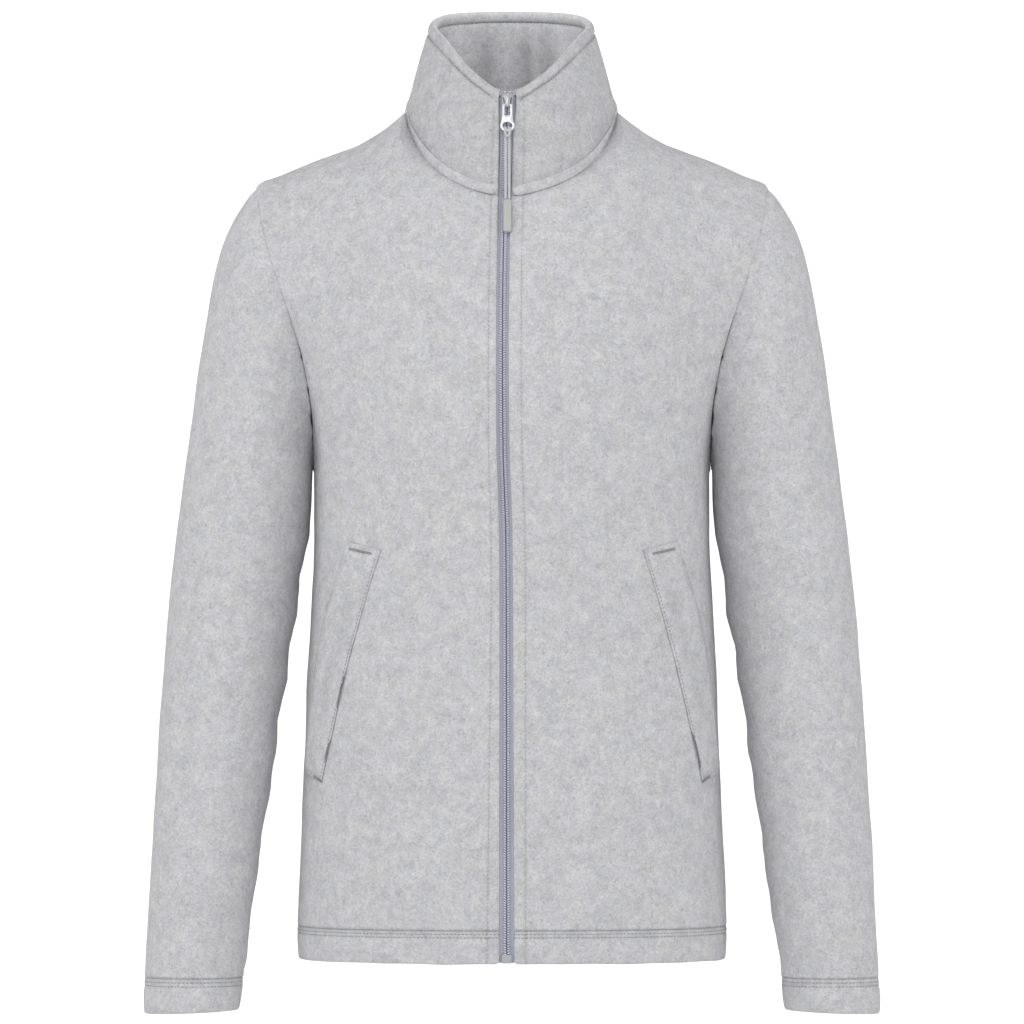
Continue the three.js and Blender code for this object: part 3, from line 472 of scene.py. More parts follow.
# Near-black bars on the slider's face: painted shade in its slots
SLOT_SHADE_PAINT = plain_material("painted_shade_in_slider_slots", (0.10, 0.10, 0.11), 0.5, 0.4, 0.1, 300, 0.00003)
METAL = plain_material("lacquered_slider_metal", (0.50, 0.51, 0.52), 0.35, 0.5, 0.05, 250, 0.00004)
TAB = plain_material("polished_tab_metal", (0.70, 0.71, 0.73), 0.3, 0.35, 0.03, 300, 0.00003)
CORD = plain_material("braided_cord", (0.56, 0.57, 0.58), 0.85, 0, 0.2, 1400, 0.0004)
TIP = plain_material("moulded_tip", (0.47, 0.49, 0.47), 0.6, 0, 0.04, 700, 0.00005)
# The thread itself is fleece grey; this darker colour is painted shade along the stitches
THREAD_WITH_PAINTED_SHADE = plain_material("sewing_thread", (0.27, 0.27, 0.29), 0.8, 0, 0.15, 2200, 0.0001)
PALE_THREAD = plain_material("pale_sewing_thread", (0.42, 0.42, 0.44), 0.8, 0, 0.12, 2200, 0.0001)


# Cloth


def welded_quads(node):
    """A copy of a solid with its corners merged and its triangles paired."""
    mesh = bmesh.new()
    mesh.from_mesh(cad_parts[node].data)
    bmesh.ops.remove_doubles(mesh, verts=mesh.verts, dist=WELD)
    bmesh.ops.join_triangles(
        mesh, faces=mesh.faces,
        angle_face_threshold=math.radians(QUAD_FLATNESS),
        angle_shape_threshold=math.radians(QUAD_SKEW),
    )
    return mesh


def point_tree(points):
    tree = KDTree(len(points))
    for index, point in enumerate(points):
        tree.insert(point, index)
    tree.balance()
    return tree


def open_towards(mesh, other_points):
    """Takes off the rim that faces the other half of a sleeve."""
    tree = point_tree(other_points)
    near = {corner for corner in mesh.verts if tree.find(corner.co)[2] < SLEEVE_JOIN}
    rim = [face for face in mesh.faces if all(corner in near for corner in face.verts)]
    bmesh.ops.delete(mesh, geom=rim, context="FACES")


def joined_quads(nodes):
    """The quads of one solid, or of two that are one tube of cloth."""
    halves = [welded_quads(node) for node in nodes]
    if len(halves) == 1:
        return halves[0]
    places = [[corner.co.copy() for corner in half.verts] for half in halves]
    open_towards(halves[0], places[1])
    open_towards(halves[1], places[0])
    whole = bmesh.new()
    for half in halves:
        data = bpy.data.meshes.new("half")
        half.to_mesh(data)
        half.free()
        whole.from_mesh(data)
        bpy.data.meshes.remove(data)
    ends = [corner for corner in whole.verts if corner.is_boundary]
    bmesh.ops.remove_doubles(whole, verts=ends, dist=SLEEVE_JOIN)
    return whole


def cloth_shell(piece_name, nodes):
    """A soft copy of a cloth solid: welded, rounded between its sewn edges, and finely divided."""
    mesh = joined_quads(nodes)
    crease = mesh.edges.layers.float.new("crease_edge")
    for edge in mesh.edges:
        if len(edge.link_faces) == 2 and edge.calc_face_angle() > math.radians(CREASE_ANGLE):
            edge[crease] = 1
    data = bpy.data.meshes.new("cloth_" + piece_name)
    mesh.to_mesh(data)
    mesh.free()
    piece = add_object("cloth_" + piece_name, data)
    make_active(piece)
    rounding = piece.modifiers.new("rounding", "SUBSURF")
    rounding.levels = rounding.render_levels = CLOTH_LEVELS
    bpy.ops.object.modifier_apply(modifier=rounding.name)
    divide_long_edges(piece)
    return piece


def divide_long_edges(piece):
    mesh = bmesh.new()
    mesh.from_mesh(piece.data)
    long_edges = [edge for edge in mesh.edges if edge.calc_length() > LONGEST_EDGE]
    bmesh.ops.subdivide_edges(mesh, edges=long_edges, cuts=1, use_grid_fill=True)
    mesh.to_mesh(piece.data)
    mesh.free()


def solid_tree(nodes):
    """The surfaces of several solids, for finding the nearest point on them."""
    points = []
    faces = []
    for node in nodes:
        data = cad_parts[node].data
        start = len(points)
        points.extend(corner.co.copy() for corner in data.vertices)
        faces.extend([start + index for index in face.vertices] for face in data.polygons)
    return BVHTree.FromPolygons(points, faces)


def close_seams(piece, sewn_to):
    """Moves the edges of a shell half of the way to the pieces that it is sewn to, so that they meet."""
    tree = solid_tree(sewn_to)
    for corner in piece.data.vertices:
        found, _, _, distance = tree.find_nearest(corner.co, SEAM_REACH)
        if found is not None:
            corner.co += (found - corner.co) * 0.5


def sleeve_axis(level, side):
    """The middle of a sleeve at a level, as x and y."""
    x = SLEEVE_X[0] + SLEEVE_SPREAD * (SLEEVE_X[1] - level)
    y = SLEEVE_Y[0] - SLEEVE_FORWARD[0] * min(max((SLEEVE_Y[1] - level) / SLEEVE_FORWARD[1], 0), 1)
    return side * x, y


def outward(name, place):
    """The direction in which the cloth stands away from the body or the arm inside it."""
    rise = max(0, place.z - SHOULDER_START)
    if name.startswith("sleeve"):
        x, y = sleeve_axis(place.z, -1 if name.endswith("left") else 1)
        return Vector((place.x - x, place.y - y, rise)).normalized()
    if name == "collar":
        return Vector((place.x, place.y - NECK_CENTRE.y, 0)).normalized()
    return Vector((place.x * SIDE_SHARE, place.y, rise)).normalized()


def bell(distance, half_width):
    return math.exp(-(distance / half_width) ** 2)


def crease_height(place):
    """Height of the body's creases at a place, in metres."""
    x, z = place.x / MM, place.z / MM
    total = 0
    for side, x0, z0, x1, z1, sag, half_width, height in BODY_CREASES:
        along = (x - x0) / (x1 - x0)
        if side * place.y < 0 or not 0 < along < 1:
            continue
        level = z0 + (z1 - z0) * along + 4 * sag * along * (1 - along)
        total += height * bell(z - level, half_width) * math.sin(math.pi * along)
    return total * MM


def ripple_height(place, side):
    """Height of the ripples on the inner side of a sleeve, in metres."""
    x, y = sleeve_axis(place.z, side)
    turn = math.atan2(place.y - y, -side * (place.x - x))
    total = 0
    for level, slant, half_width, left, right in SLEEVE_RIPPLES:
        height = left if side < 0 else right
        total += height * bell(place.z / MM - level - slant * turn, half_width)
    return total * bell(turn, RIPPLE_REACH) * MM


def collar_height(place):
    """Height of the upright folds in the back of the collar, in metres."""
    turn = math.degrees(math.atan2(place.x, place.y - NECK_CENTRE.y))
    total = sum(height * bell(turn - middle, half_width) for middle, half_width, height in COLLAR_FOLDS)
    low = min(max((FOLD_TOP - place.z) / FOLD_FADE, 0), 1)
    return total * low * MM


def relief_height(name, place):
    total = sum(height * noise.noise(place / size) for size, height in WAVES)
    if name.startswith("sleeve"):
        return total + ripple_height(place, -1 if name.endswith("left") else 1)
    if name == "collar":
        return total * 0.5 + collar_height(place)
    return total + crease_height(place)


def zip_side(place):
    """How far a place on the front lies from the edge of the cloth beside the zip."""
    return abs(place.x + ZIP_OFFSET) - ZIP_HALF_GAP


def hem_shift(place):
    """How far the lower edge of the body moves up at a place, uneven round it and rounded beside the zip."""
    up = place.z - HEM_LEVEL
    if up > HEM_BAND:
        return 0
    height, size = HEM_WANDER
    wander = height * noise.noise(Vector((place.x, place.y, 0)) / size) * (1 - up / HEM_BAND)
    rise, half_width = HEM_CORNER
    if place.y > 0 or up > 2 * half_width:
        return wander
    return wander + rise * bell(max(zip_side(place), 0), half_width) * bell(up, half_width)


def shoulder_lift(place):
    side = 1 if place.x > 0 else -1
    lift, half_width = SHOULDER_LIFT
    away = Vector((side * place.x, place.y, place.z)) - SHOULDER_TIP
    away.y *= SHOULDER_DEPTH
    lean = Vector((side * SHOULDER_LEAN.x, 0, SHOULDER_LEAN.z))
    return lean * lift * bell(away.length, half_width)


def add_relief(name, piece):
    on_body = name in ("front_left", "front_right", "back")
    for corner in piece.data.vertices:
        corner.co += outward(name, corner.co) * relief_height(name, corner.co) + shoulder_lift(corner.co)
        if on_body:
            corner.co.z += hem_shift(corner.co)


shells = {}
for name, (nodes, sewn_to) in CLOTH.items():
    shell = cloth_shell(name, nodes)
    if sewn_to:
        close_seams(shell, sewn_to)
    add_relief(name, shell)
    shells[name] = shell


# Copies of one small model


def joined_copies(name, model, places):
    """One mesh with a copy of the model at every place."""
    points = [corner.co.copy() for corner in model.data.vertices]
    loops = [tuple(face.vertices) for face in model.data.polygons]
    corners = []
    faces = []
    for place in places:
        start = len(corners)
        corners.extend(place @ point for point in points)
        faces.extend([start + index for index in loop] for loop in loops)
    data = bpy.data.meshes.new(name)
    data.from_pydata(corners, [], faces)
    data.shade_smooth()
    return add_object(name, data)


def discard(model):
    data = model.data
    bpy.data.objects.remove(model)
    bpy.data.meshes.remove(data)


def select_points(piece, chosen):
    """Selects the points that the test accepts, and leaves the piece in edit mode."""
    bpy.ops.object.mode_set(mode="EDIT")
    bpy.ops.mesh.select_mode(type="VERT")
    bpy.ops.mesh.select_all(action="DESELECT")
    bpy.ops.object.mode_set(mode="OBJECT")
    for corner in piece.data.vertices:
        corner.select = chosen(corner.co)
    bpy.ops.object.mode_set(mode="EDIT")


# Sewing


def stitch_model():
    """One stitch of thread, its ends drawn down into the cloth."""
    deselect_all()
    bpy.ops.mesh.primitive_uv_sphere_add(segments=6, ring_count=6, radius=1, rotation=(0, math.pi / 2, 0))
    piece = bpy.context.active_object
    bpy.ops.transform.resize(value=(STITCH_LENGTH / 2, STITCH_THICKNESS / 2, STITCH_THICKNESS / 2))
    bpy.ops.object.transform_apply(location=True, rotation=True, scale=True)
    select_points(piece, lambda place: abs(place.x) > 0.35 * STITCH_LENGTH)
    bpy.ops.transform.translate(value=(0, 0, -0.5 * STITCH_THICKNESS))
    bpy.ops.object.mode_set(mode="OBJECT")
    return piece


def shell_tree(*names):
    points = []
    faces = []
    for name in names:
        data = shells[name].data
        start = len(points)
        points.extend(corner.co.copy() for corner in data.vertices)
        faces.extend([start + index for index in face.vertices] for face in data.polygons)
    return BVHTree.FromPolygons(points, faces)


def surface_row(tree, starts):
    """Where rays from pairs of a start and a direction first meet the cloth, and the cloth's normal there."""
    row = []
    for start, direction in starts:
        place, normal, _, _ = tree.ray_cast(start, direction)
        if place is not None:
            row.append((place, normal if normal.dot(direction) < 0 else -normal))
    return row


def stitch_places(row, pitch=STITCH_PITCH, sink=0.0):
    """Evenly spaced places along a row, each with its stitch turned along the row and out of the cloth."""
    places = []
    left_over = 0.0
    for (start, normal), (end, _) in zip(row, row[1:]):
        step = end - start
        length = step.length
        if length > 3 * pitch or length == 0:
            left_over = 0.0
            continue
        along = step / length
        side = normal.cross(along).normalized()
        up = along.cross(side)
        while left_over < length:
            middle = start + along * left_over - up * sink
            places.append(Matrix.Translation(middle) @ Matrix((along, side, up)).transposed().to_4x4())
            left_over += pitch
        left_over -= length
    return places


def steps(start, end, size):
    count = max(1, round(abs(end - start) / size))
    return [start + (end - start) * index / count for index in range(count + 1)]


def hem_row(height):
    tree = shell_tree("front_left", "front_right", "back")
    starts = []
    for turn in steps(0, 360, 0.4):
        direction = Vector((math.sin(math.radians(turn)), -math.cos(math.radians(turn)), 0))
        middle = Vector((direction.x * 0.05, 0, HEM_LEVEL + height))
        starts.append((middle + direction * 0.5, -direction))
    return surface_row(tree, starts)


def cuff_row(side, height):
    name = "sleeve_left" if side < 0 else "sleeve_right"
    tree = shell_tree(name)
    lowest = min(corner.co.z for corner in shells[name].data.vertices)
    x, y = sleeve_axis(lowest + height, side)
    starts = []
    for turn in steps(0, 360, 1):
        direction = Vector((math.sin(math.radians(turn)), -math.cos(math.radians(turn)), 0))
        starts.append((Vector((x, y, lowest + height)) + direction * 0.2, -direction))
    return surface_row(tree, starts)


def smoothed(line, rounds=3):
    for _ in range(rounds):
        line = [line[0]] + [(a + b + c) / 3 for a, b, c in zip(line, line[1:], line[2:])] + [line[-1]]
    return line


def collar_edge(pick, lowest=-math.inf, bins=60):
    """The highest or lowest line of the collar, from the zip's right side round to its left side."""
    found = {}
    for corner in shells["collar"].data.vertices:
        place = corner.co
        turn = math.atan2(place.y - NECK_CENTRE.y, place.x) + math.pi / 2
        index = int((turn % (2 * math.pi)) / (2 * math.pi) * bins)
        if place.z > lowest and (index not in found or pick(place.z, found[index].z) == place.z):
            found[index] = place.copy()
    return resampled(smoothed([found[index] for index in sorted(found)]), 2 * MM)


def resampled(line, size):
    """The same line with its points no further apart than the size."""
    points = []
    for start, end in zip(line, line[1:]):
        count = max(1, math.ceil((end - start).length / size))
        points.extend(start.lerp(end, index / count) for index in range(count))
    return points + [line[-1]]


def collar_row(line, drop, side):
    """A row on the collar's outside (1) or inside (-1), the given drop below a line on it."""
    tree = shell_tree("collar")
    starts = []
    for place in line:
        away = Vector((place.x, place.y - NECK_CENTRE.y, 0)).normalized() * side
        starts.append((place + Vector((0, 0, -drop)) + away * 0.025, -away))
    return surface_row(tree, starts)


def neck_seam_row(line):
    tree = shell_tree("front_left", "front_right", "back")
    starts = []
    for place in line:
        away = Vector((place.x, place.y - NECK_CENTRE.y, 0)).normalized()
        starts.append((place + away * 1.2 * MM + Vector((0, 0, 0.03)), Vector((0, 0, -1))))
    return surface_row(tree, starts)


def armhole_row(side):
    """The upper part of the seam between a sleeve and the body."""
    sleeve = "sleeve_left" if side < 0 else "sleeve_right"
    front = "front_left" if side < 0 else "front_right"
    body = solid_tree((front, "back"))
    seam = [corner.co.copy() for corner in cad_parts[sleeve].data.vertices
            if body.find_nearest(corner.co, 0.5 * MM)[0] is not None and corner.co.z > ARMHOLE_FOOT]
    middle_y, middle_z = ARMHOLE_MIDDLE
    seam.sort(key=lambda place: math.atan2(place.y - middle_y, place.z - middle_z))
    tree = shell_tree(sleeve)
    starts = []
    for place in seam:
        away = outward(sleeve, place + Vector((side * 0.02, 0, 0)))
        starts.append((place + Vector((side * 1.5 * MM, 0, 0)) + away * 0.03, -away))
    return surface_row(tree, starts)


class ZipMiddle:
    """The line of the zip, read from its chain: where the coil's front lies at a level."""

    def __init__(self):
        tree = solid_tree(("zip_chain",))
        self.levels = steps(CHAIN_FROM + 0.5 * MM, CHAIN_TO - 0.5 * MM, 4 * MM)
        self.places = []
        for level in self.levels:
            front = tree.ray_cast(Vector((-0.006, FAR_AHEAD, level)), INTO_JACKET)[0]
            depth = front.y + 1.5 * MM
            left = tree.ray_cast(Vector((-0.1, depth, level)), Vector((1, 0, 0)))[0]
            right = tree.ray_cast(Vector((0.1, depth, level)), Vector((-1, 0, 0)))[0]
            self.places.append(Vector(((left.x + right.x) / 2, front.y, level)))

    def at(self, level):
        share = (level - self.levels[0]) / (self.levels[-1] - self.levels[0]) * (len(self.levels) - 1)
        index = min(max(int(share), 0), len(self.levels) - 2)
        low, high = self.places[index], self.places[index + 1]
        return low + (high - low) * (level - low.z) / (high.z - low.z)

    def matrix(self, level):
        """X lies across the zip, Y goes into the jacket and Z up along the zip."""
        up = (self.at(level + 4 * MM) - self.at(level - 4 * MM))
        up = Vector((0, up.y, up.z)).normalized()
        inward = Vector((0, up.z, -up.y))
        return Matrix.Translation(self.at(level)) @ Matrix(((1, 0, 0), inward, up)).transposed().to_4x4()


zip_middle = ZipMiddle()


def between_rows(level, column):
    """A column of ZIP_ROWS at a level, in metres."""
    level = level / MM
    for low, high in zip(ZIP_ROWS, ZIP_ROWS[1:]):
        if level <= high[0]:
            break
    share = min(max((level - low[0]) / (high[0] - low[0]), 0), 1)
    return (low[column] + (high[column] - low[column]) * share) * MM


def zip_row(side):
    column = 1 if side < 0 else 2
    tree = shell_tree("front_left" if side < 0 else "front_right", "collar")
    starts = []
    for level in steps(HEM_LEVEL + 2 * MM, 4 * MM, 3 * MM):
        x = zip_middle.at(level).x + side * between_rows(level, column)
        starts.append((Vector((x, FAR_AHEAD, level)), INTO_JACKET))
    return surface_row(tree, starts)


class WeltEdges:
    """The edges of a pocket welt as the front shows them: its seam, its free edge, and its top and foot."""

    def __init__(self, side):
        self.side = side
        self.name = "pocket_welt_left" if side < 0 else "pocket_welt_right"
        self.tree = solid_tree((self.name,))
        low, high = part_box(self.name)
        levels = steps(low[2] + 2 * MM, high[2] - 2 * MM, 4 * MM)
        across = steps(low[0] + 0.5 * MM, high[0] - 0.5 * MM, MM)
        found = [(x, level) for level in levels for x in across if self.hit(x, level)]
        self.seam = self.line((min(abs(x) for x, z in found if z == level) * side, level)
                              for level in levels if level < high[2] - WELT_TILT)
        self.free = self.line((max(abs(x) for x, z in found if z == level) * side, level)
                              for level in levels if level > low[2] + WELT_TILT)
        columns = [x for x in across if any(place == x for place, _ in found)]
        self.top = self.line((x, max(z for place, z in found if place == x)) for x in columns)
        self.foot = self.line((x, min(z for place, z in found if place == x)) for x in columns)

    def line(self, places):
        return resampled(smoothed([Vector((x, 0, z)) for x, z in places], 6), 1.5 * MM)

    def hit(self, x, level):
        return self.tree.ray_cast(Vector((x, FAR_AHEAD, level)), INTO_JACKET)[0] is not None

    def row(self, places, shift=0.0):
        """The places moved outwards by the shift, on the cloth that shows there."""
        tree = shell_tree("front_left" if self.side < 0 else "front_right", self.name)
        shifted = Vector((self.side * shift, FAR_AHEAD, 0))
        row = surface_row(tree, [(place + shifted, INTO_JACKET) for place in places])
        points = smoothed([place for place, _ in row], 5)
        normals = smoothed([normal for _, normal in row], 5)
        return list(zip(points, normals))

    def middle_row(self):
        """Down the hollow between the seam and the free edge."""
        places = [place + Vector((self.side * WELT_HOLLOW, 0, 0)) for place in self.seam]
        low, high = HOLLOW_LEVELS
        return self.row([place for place in places if low < place.z < high])

    def open_edge_row(self):
        return self.row([place for place in self.free if place.z > LIP_FOOT], WELT_LIP)


def pocket_bar_rows(side):
    name = "front_left" if side < 0 else "front_right"
    tree = shell_tree(name, "pocket_welt_left" if side < 0 else "pocket_welt_right")
    rows = []
    for x0, z0, x1, z1 in POCKET_BARS:
        for lift in BAR_LIFTS:
            starts = []
            for share in steps(0, 1, 0.1):
                x = -side * (x0 + (x1 - x0) * share) * MM
                z = (z0 + (z1 - z0) * share + lift) * MM
                starts.append((Vector((x, FAR_AHEAD, z)), INTO_JACKET))
            rows.append(surface_row(tree, starts))
    return rows


class Groove:
    """Rows of sewing and the groove that they draw into the cloth: its depth, half width and painted shade.
    """

    def __init__(self, rows, depth, half_width, shade, pieces=tuple(CLOTH)):
        self.rows = rows
        self.depth = depth * MM
        self.half_width = half_width * MM
        self.shade = shade
        self.pieces = pieces
        self.points = []
        for row in rows:
            for (start, normal), (end, _) in zip(row, row[1:]):
                if (end - start).length < 3 * STITCH_PITCH:
                    count = max(1, math.ceil((end - start).length / MM))
                    self.points.extend((start.lerp(end, index / count), normal) for index in range(count))
        self.tree = point_tree([place for place, _ in self.points])
        reach = max(GROOVE_REACH, 3 * self.half_width)
        self.low = [min(place[axis] for place, _ in self.points) - reach for axis in range(3)]
        self.high = [max(place[axis] for place, _ in self.points) + reach for axis in range(3)]

    def distance(self, place):
        if all(self.low[axis] < place[axis] < self.high[axis] for axis in range(3)):
            return self.tree.find(place)[2]
        return math.inf

    def normal(self, place):
        return self.points[self.tree.find(place)[1]][1]


def divide_near(piece, groove):
    """Divides a shell finely beside the rows of a groove."""
    mesh = bmesh.new()
    mesh.from_mesh(piece.data)
    for _ in range(2):
        long_edges = [edge for edge in mesh.edges if edge.calc_length() > GROOVE_EDGE
                      and groove.distance((edge.verts[0].co + edge.verts[1].co) / 2) < GROOVE_REACH]
        bmesh.ops.subdivide_edges(mesh, edges=long_edges, cuts=1, use_grid_fill=True)
    mesh.to_mesh(piece.data)
    mesh.free()


def shade_folds(piece):
    """Paints shade into the collar's folds that stand away from the neck and light onto those that come
    towards it, and paints shade on the collar's outside and light on its inside.
    """
    seam = piece.data.attributes["seam"]
    for index, corner in enumerate(piece.data.vertices):
        away = Vector((corner.co.x, corner.co.y - NECK_CENTRE.y, 0))
        face = "outside" if corner.normal.dot(away) > 0 else "inside"
        # Painted shade on the outside and in the fold hollows, painted light on the inside and on the fold
        # ridges
        seam.data[index].value += COLLAR_PAINTED_SHADE_AND_LIGHT[face] + FOLD_SHADE * collar_height(corner.co) / MM


def press_groove(piece, groove):
    seam = piece.data.attributes["seam"]
    for index, corner in enumerate(piece.data.vertices):
        distance = groove.distance(corner.co)
        if distance < 3 * groove.half_width:
            share = bell(distance, groove.half_width)
            corner.co -= groove.normal(corner.co) * groove.depth * share
            # Painted shade along the groove, kept in the seam attribute
            seam.data[index].value += groove.shade * share


def sew(name, groove, pitch=STITCH_PITCH, material=THREAD_WITH_PAINTED_SHADE):
    places = []
    for row in groove.rows:
        places.extend(stitch_places(row, pitch, 0.85 * groove.depth))
    return finish_piece(joined_copies(name, stitch, places), material, BODY, "fleece")


crest = collar_edge(max, COLLAR_FRONT_TOP)
foot = collar_edge(min)
sides = (-1, 1)
welts = [WeltEdges(side) for side in sides]
WELTS = ("pocket_welt_left", "pocket_welt_right")
FRONTS = ("front_left", "front_right")
BODY_PIECES = (*FRONTS, "back")
SLEEVES = ("sleeve_left", "sleeve_right")
welt_borders = [welt.row(edge, WELT_BORDER) for welt in welts for edge in (welt.seam, welt.top, welt.foot)]
cuff_rows = [cuff_row(side, height) for side in sides for height in CUFF_ROWS]
welt_seams = [welt.row(welt.seam, WELT_STITCH) for welt in welts]
bar_rows = [row for side in sides for row in pocket_bar_rows(side)]

# Each groove: its rows, depth and half width in mm, painted shade, and the pieces that it is pressed into
grooves = {
    "hem": Groove([hem_row(height) for height in HEM_ROWS], 0.4, 1.0, 0.14, BODY_PIECES),
    "hem_fold": Groove([hem_row(HEM_FOLD)], 0.7, 0.8, 0.5, BODY_PIECES),
    "cuff": Groove(cuff_rows, 0.4, 1.0, 0.14, SLEEVES),
    "cuff_fold": Groove([cuff_row(side, CUFF_FOLD) for side in sides], 0.7, 0.8, 0.5, SLEEVES),
    "collar": Groove([collar_row(crest, COLLAR_ROW, side) for side in (1, -1)], 0.8, 1.2, 0.24, ("collar",)),
    "ridge_top": Groove([collar_row(foot, -10 * MM, 1)], 0.3, 2.2, 0.06, ("collar",)),
    "neck_seam": Groove([neck_seam_row(foot)], 0.2, 1.2, 0.2, BODY_PIECES),
    "armhole": Groove([armhole_row(side) for side in sides], 0.4, 1.4, 0.12, (*SLEEVES, *BODY_PIECES)),
    "zip_edge": Groove([zip_row(side) for side in sides], 0.35, 1.3, 0.07, (*FRONTS, "collar")),
    "pocket_step": Groove(welt_borders, 1.35, 3.0, 0, WELTS),
    "pocket_rise": Groove(welt_borders, -0.55, 3.4, 0, FRONTS),
    "pocket": Groove(welt_seams, 0.4, 1.1, 0.14, (*WELTS, *FRONTS)),
    "pocket_hollow": Groove([welt.middle_row() for welt in welts], 0.9, 8, 0.08, (*WELTS, *FRONTS)),
    "pocket_edge": Groove([welt.open_edge_row() for welt in welts], 0.4, 0.8, 0.4, FRONTS),
    "pocket_bar": Groove(bar_rows, 0.4, 1.2, 0.2, (*WELTS, *FRONTS)),
}
for name, shell in shells.items():
    # The seam attribute holds the painted shade of grooves and folds and the painted light inside the collar
    shell.data.attributes.new("seam", "FLOAT", "POINT")
    own = [groove for groove in grooves.values() if name in groove.pieces]
    for groove in own:
        divide_near(shell, groove)
    for groove in own:
        press_groove(shell, groove)
shade_folds(shells["collar"])


def ridge_line():
    """The middle of the ridge, from one side of the zip round the neck to the other."""
    row = collar_row(resampled(foot, 3 * MM), -RIDGE_RISE, 1)
    return smoothed([place for place, _ in row
                     if place.y > 0 or abs(place.x - zip_middle.at(place.z).x) > RIDGE_CLEAR], 5)


def ridge_section(points, index):
    """The corners of the ridge round one point of its middle line, smaller near the ends."""
    place = points[index]
    along = (points[min(index + 1, len(points) - 1)] - points[max(index - 1, 0)]).normalized()
    out = Vector((place.x, place.y - NECK_CENTRE.y, 0)).normalized()
    out = (out - along * out.dot(along)).normalized()
    up = along.cross(out).normalized()
    up = up if up.z > 0 else -up
    end = min(index, len(points) - 1 - index)
    size = min(1, RIDGE_END + (1 - RIDGE_END) * math.sin(min(end / 2, 1) * math.pi / 2))
    corners = []
    for step in range(RIDGE_SIDES):
        turn = 2 * math.pi * step / RIDGE_SIDES
        reach = up * RIDGE_HALF[0] * math.cos(turn) + out * RIDGE_HALF[1] * math.sin(turn)
        corners.append(place + reach * size)
    return corners


def tube_faces(rings, sides):
    """The faces of a closed tube whose corners lie ring after ring."""
    faces = [tuple(range(sides)), tuple(reversed(range((rings - 1) * sides, rings * sides)))]
    for ring in range(rings - 1):
        for step in range(sides):
            a = ring * sides + step
            b = ring * sides + (step + 1) % sides
            faces.append((a, a + sides, b + sides, b))
    return faces


def neck_ridge():
    """The rounded ridge of cloth along the foot of the collar."""
    points = ridge_line()
    corners = [corner for index in range(len(points)) for corner in ridge_section(points, index)]
    data = bpy.data.meshes.new("ridge_of_neck_seam")
    data.from_pydata(corners, [], tube_faces(len(points), RIDGE_SIDES))
    mesh = bmesh.new()
    mesh.from_mesh(data)
    bmesh.ops.recalc_face_normals(mesh, faces=mesh.faces)
    mesh.to_mesh(data)
    mesh.free()
    data.shade_smooth()
    return finish_piece(add_object("ridge_of_neck_seam", data), FLEECE, BODY, "fleece")


neck_ridge()

stitch = stitch_model()
sew("hem_stitching", grooves["hem"])
sew("cuff_stitching", grooves["cuff"])
sew("collar_stitching", grooves["collar"])
sew("neck_seam_stitching", grooves["neck_seam"])
sew("zip_edge_stitching", grooves["zip_edge"], material=PALE_THREAD)
sew("pocket_stitching", Groove([welt.row(welt.seam, WELT_STITCH) for welt in welts], 0.1, 1, 0))
sew("pocket_bar_stitching", grooves["pocket_bar"], pitch=1.9 * MM)
discard(stitch)

for name, shell in shells.items():
    make_active(shell)
    bpy.ops.object.shade_smooth()
    finish_piece(shell, FLEECE, BODY, "fleece", *CLOTH[name][0])


# Zip


def tooth_model():
    """One turn of the coil: a rounded bar across the chain that drops towards its outer end."""
    deselect_all()
    bpy.ops.mesh.primitive_cylinder_add(
        vertices=8, radius=0.5, depth=0.7 * TOOTH_LENGTH, rotation=(0, math.pi / 2, 0)
    )
    piece = bpy.context.active_object
    bpy.ops.object.transform_apply(location=True, rotation=True, scale=True)
    bpy.ops.transform.resize(value=(1, TOOTH_DEPTH, TOOTH_WIDTH))
    bpy.ops.object.transform_apply(location=True, rotation=True, scale=True)
    for end in (-1, 1):
        select_points(piece, lambda place: end * place.x > 0.3 * TOOTH_LENGTH)
        bpy.ops.mesh.extrude_region_move(TRANSFORM_OT_translate={"value": (end * 0.15 * TOOTH_LENGTH, 0, 0)})
        bpy.ops.transform.resize(value=(1, 0.6, 0.5))
        bpy.ops.object.mode_set(mode="OBJECT")
    select_points(piece, lambda place: place.x > 0.1 * TOOTH_LENGTH)
    bpy.ops.transform.translate(value=(0, 0, -TOOTH_SLANT))
    bpy.ops.object.mode_set(mode="OBJECT")
    return piece


def coil(side, model):
    places = []
    shift = Matrix.Translation((TOOTH_START + TOOTH_LENGTH / 2, TOOTH_DEPTH / 2, 0))
    mirror = Matrix.Diagonal((side, 1, 1, 1))
    for level in steps(CHAIN_FROM, CHAIN_TO, TOOTH_PITCH):
        half_pitch = TOOTH_PITCH / 2 if side > 0 else 0
        places.append(zip_middle.matrix(level + half_pitch) @ mirror @ shift)
    name = "coil_left" if side < 0 else "coil_right"
    piece = joined_copies(name, model, places)
    if side < 0:
        piece.data.flip_normals()
    return finish_piece(piece, COIL, BODY, "zip_coil", "zip_chain")


def rounded_bar(size):
    """A small bar with rounded edges."""
    deselect_all()
    bpy.ops.mesh.primitive_cube_add(size=1)
    piece = bpy.context.active_object
    bpy.ops.transform.resize(value=size)
    bpy.ops.object.transform_apply(location=True, rotation=True, scale=True)
    bpy.ops.object.mode_set(mode="EDIT")
    bpy.ops.mesh.select_all(action="SELECT")
    bpy.ops.mesh.bevel(offset=SMALL_EDGE, segments=2, affect="EDGES")
    bpy.ops.object.mode_set(mode="OBJECT")
    return piece


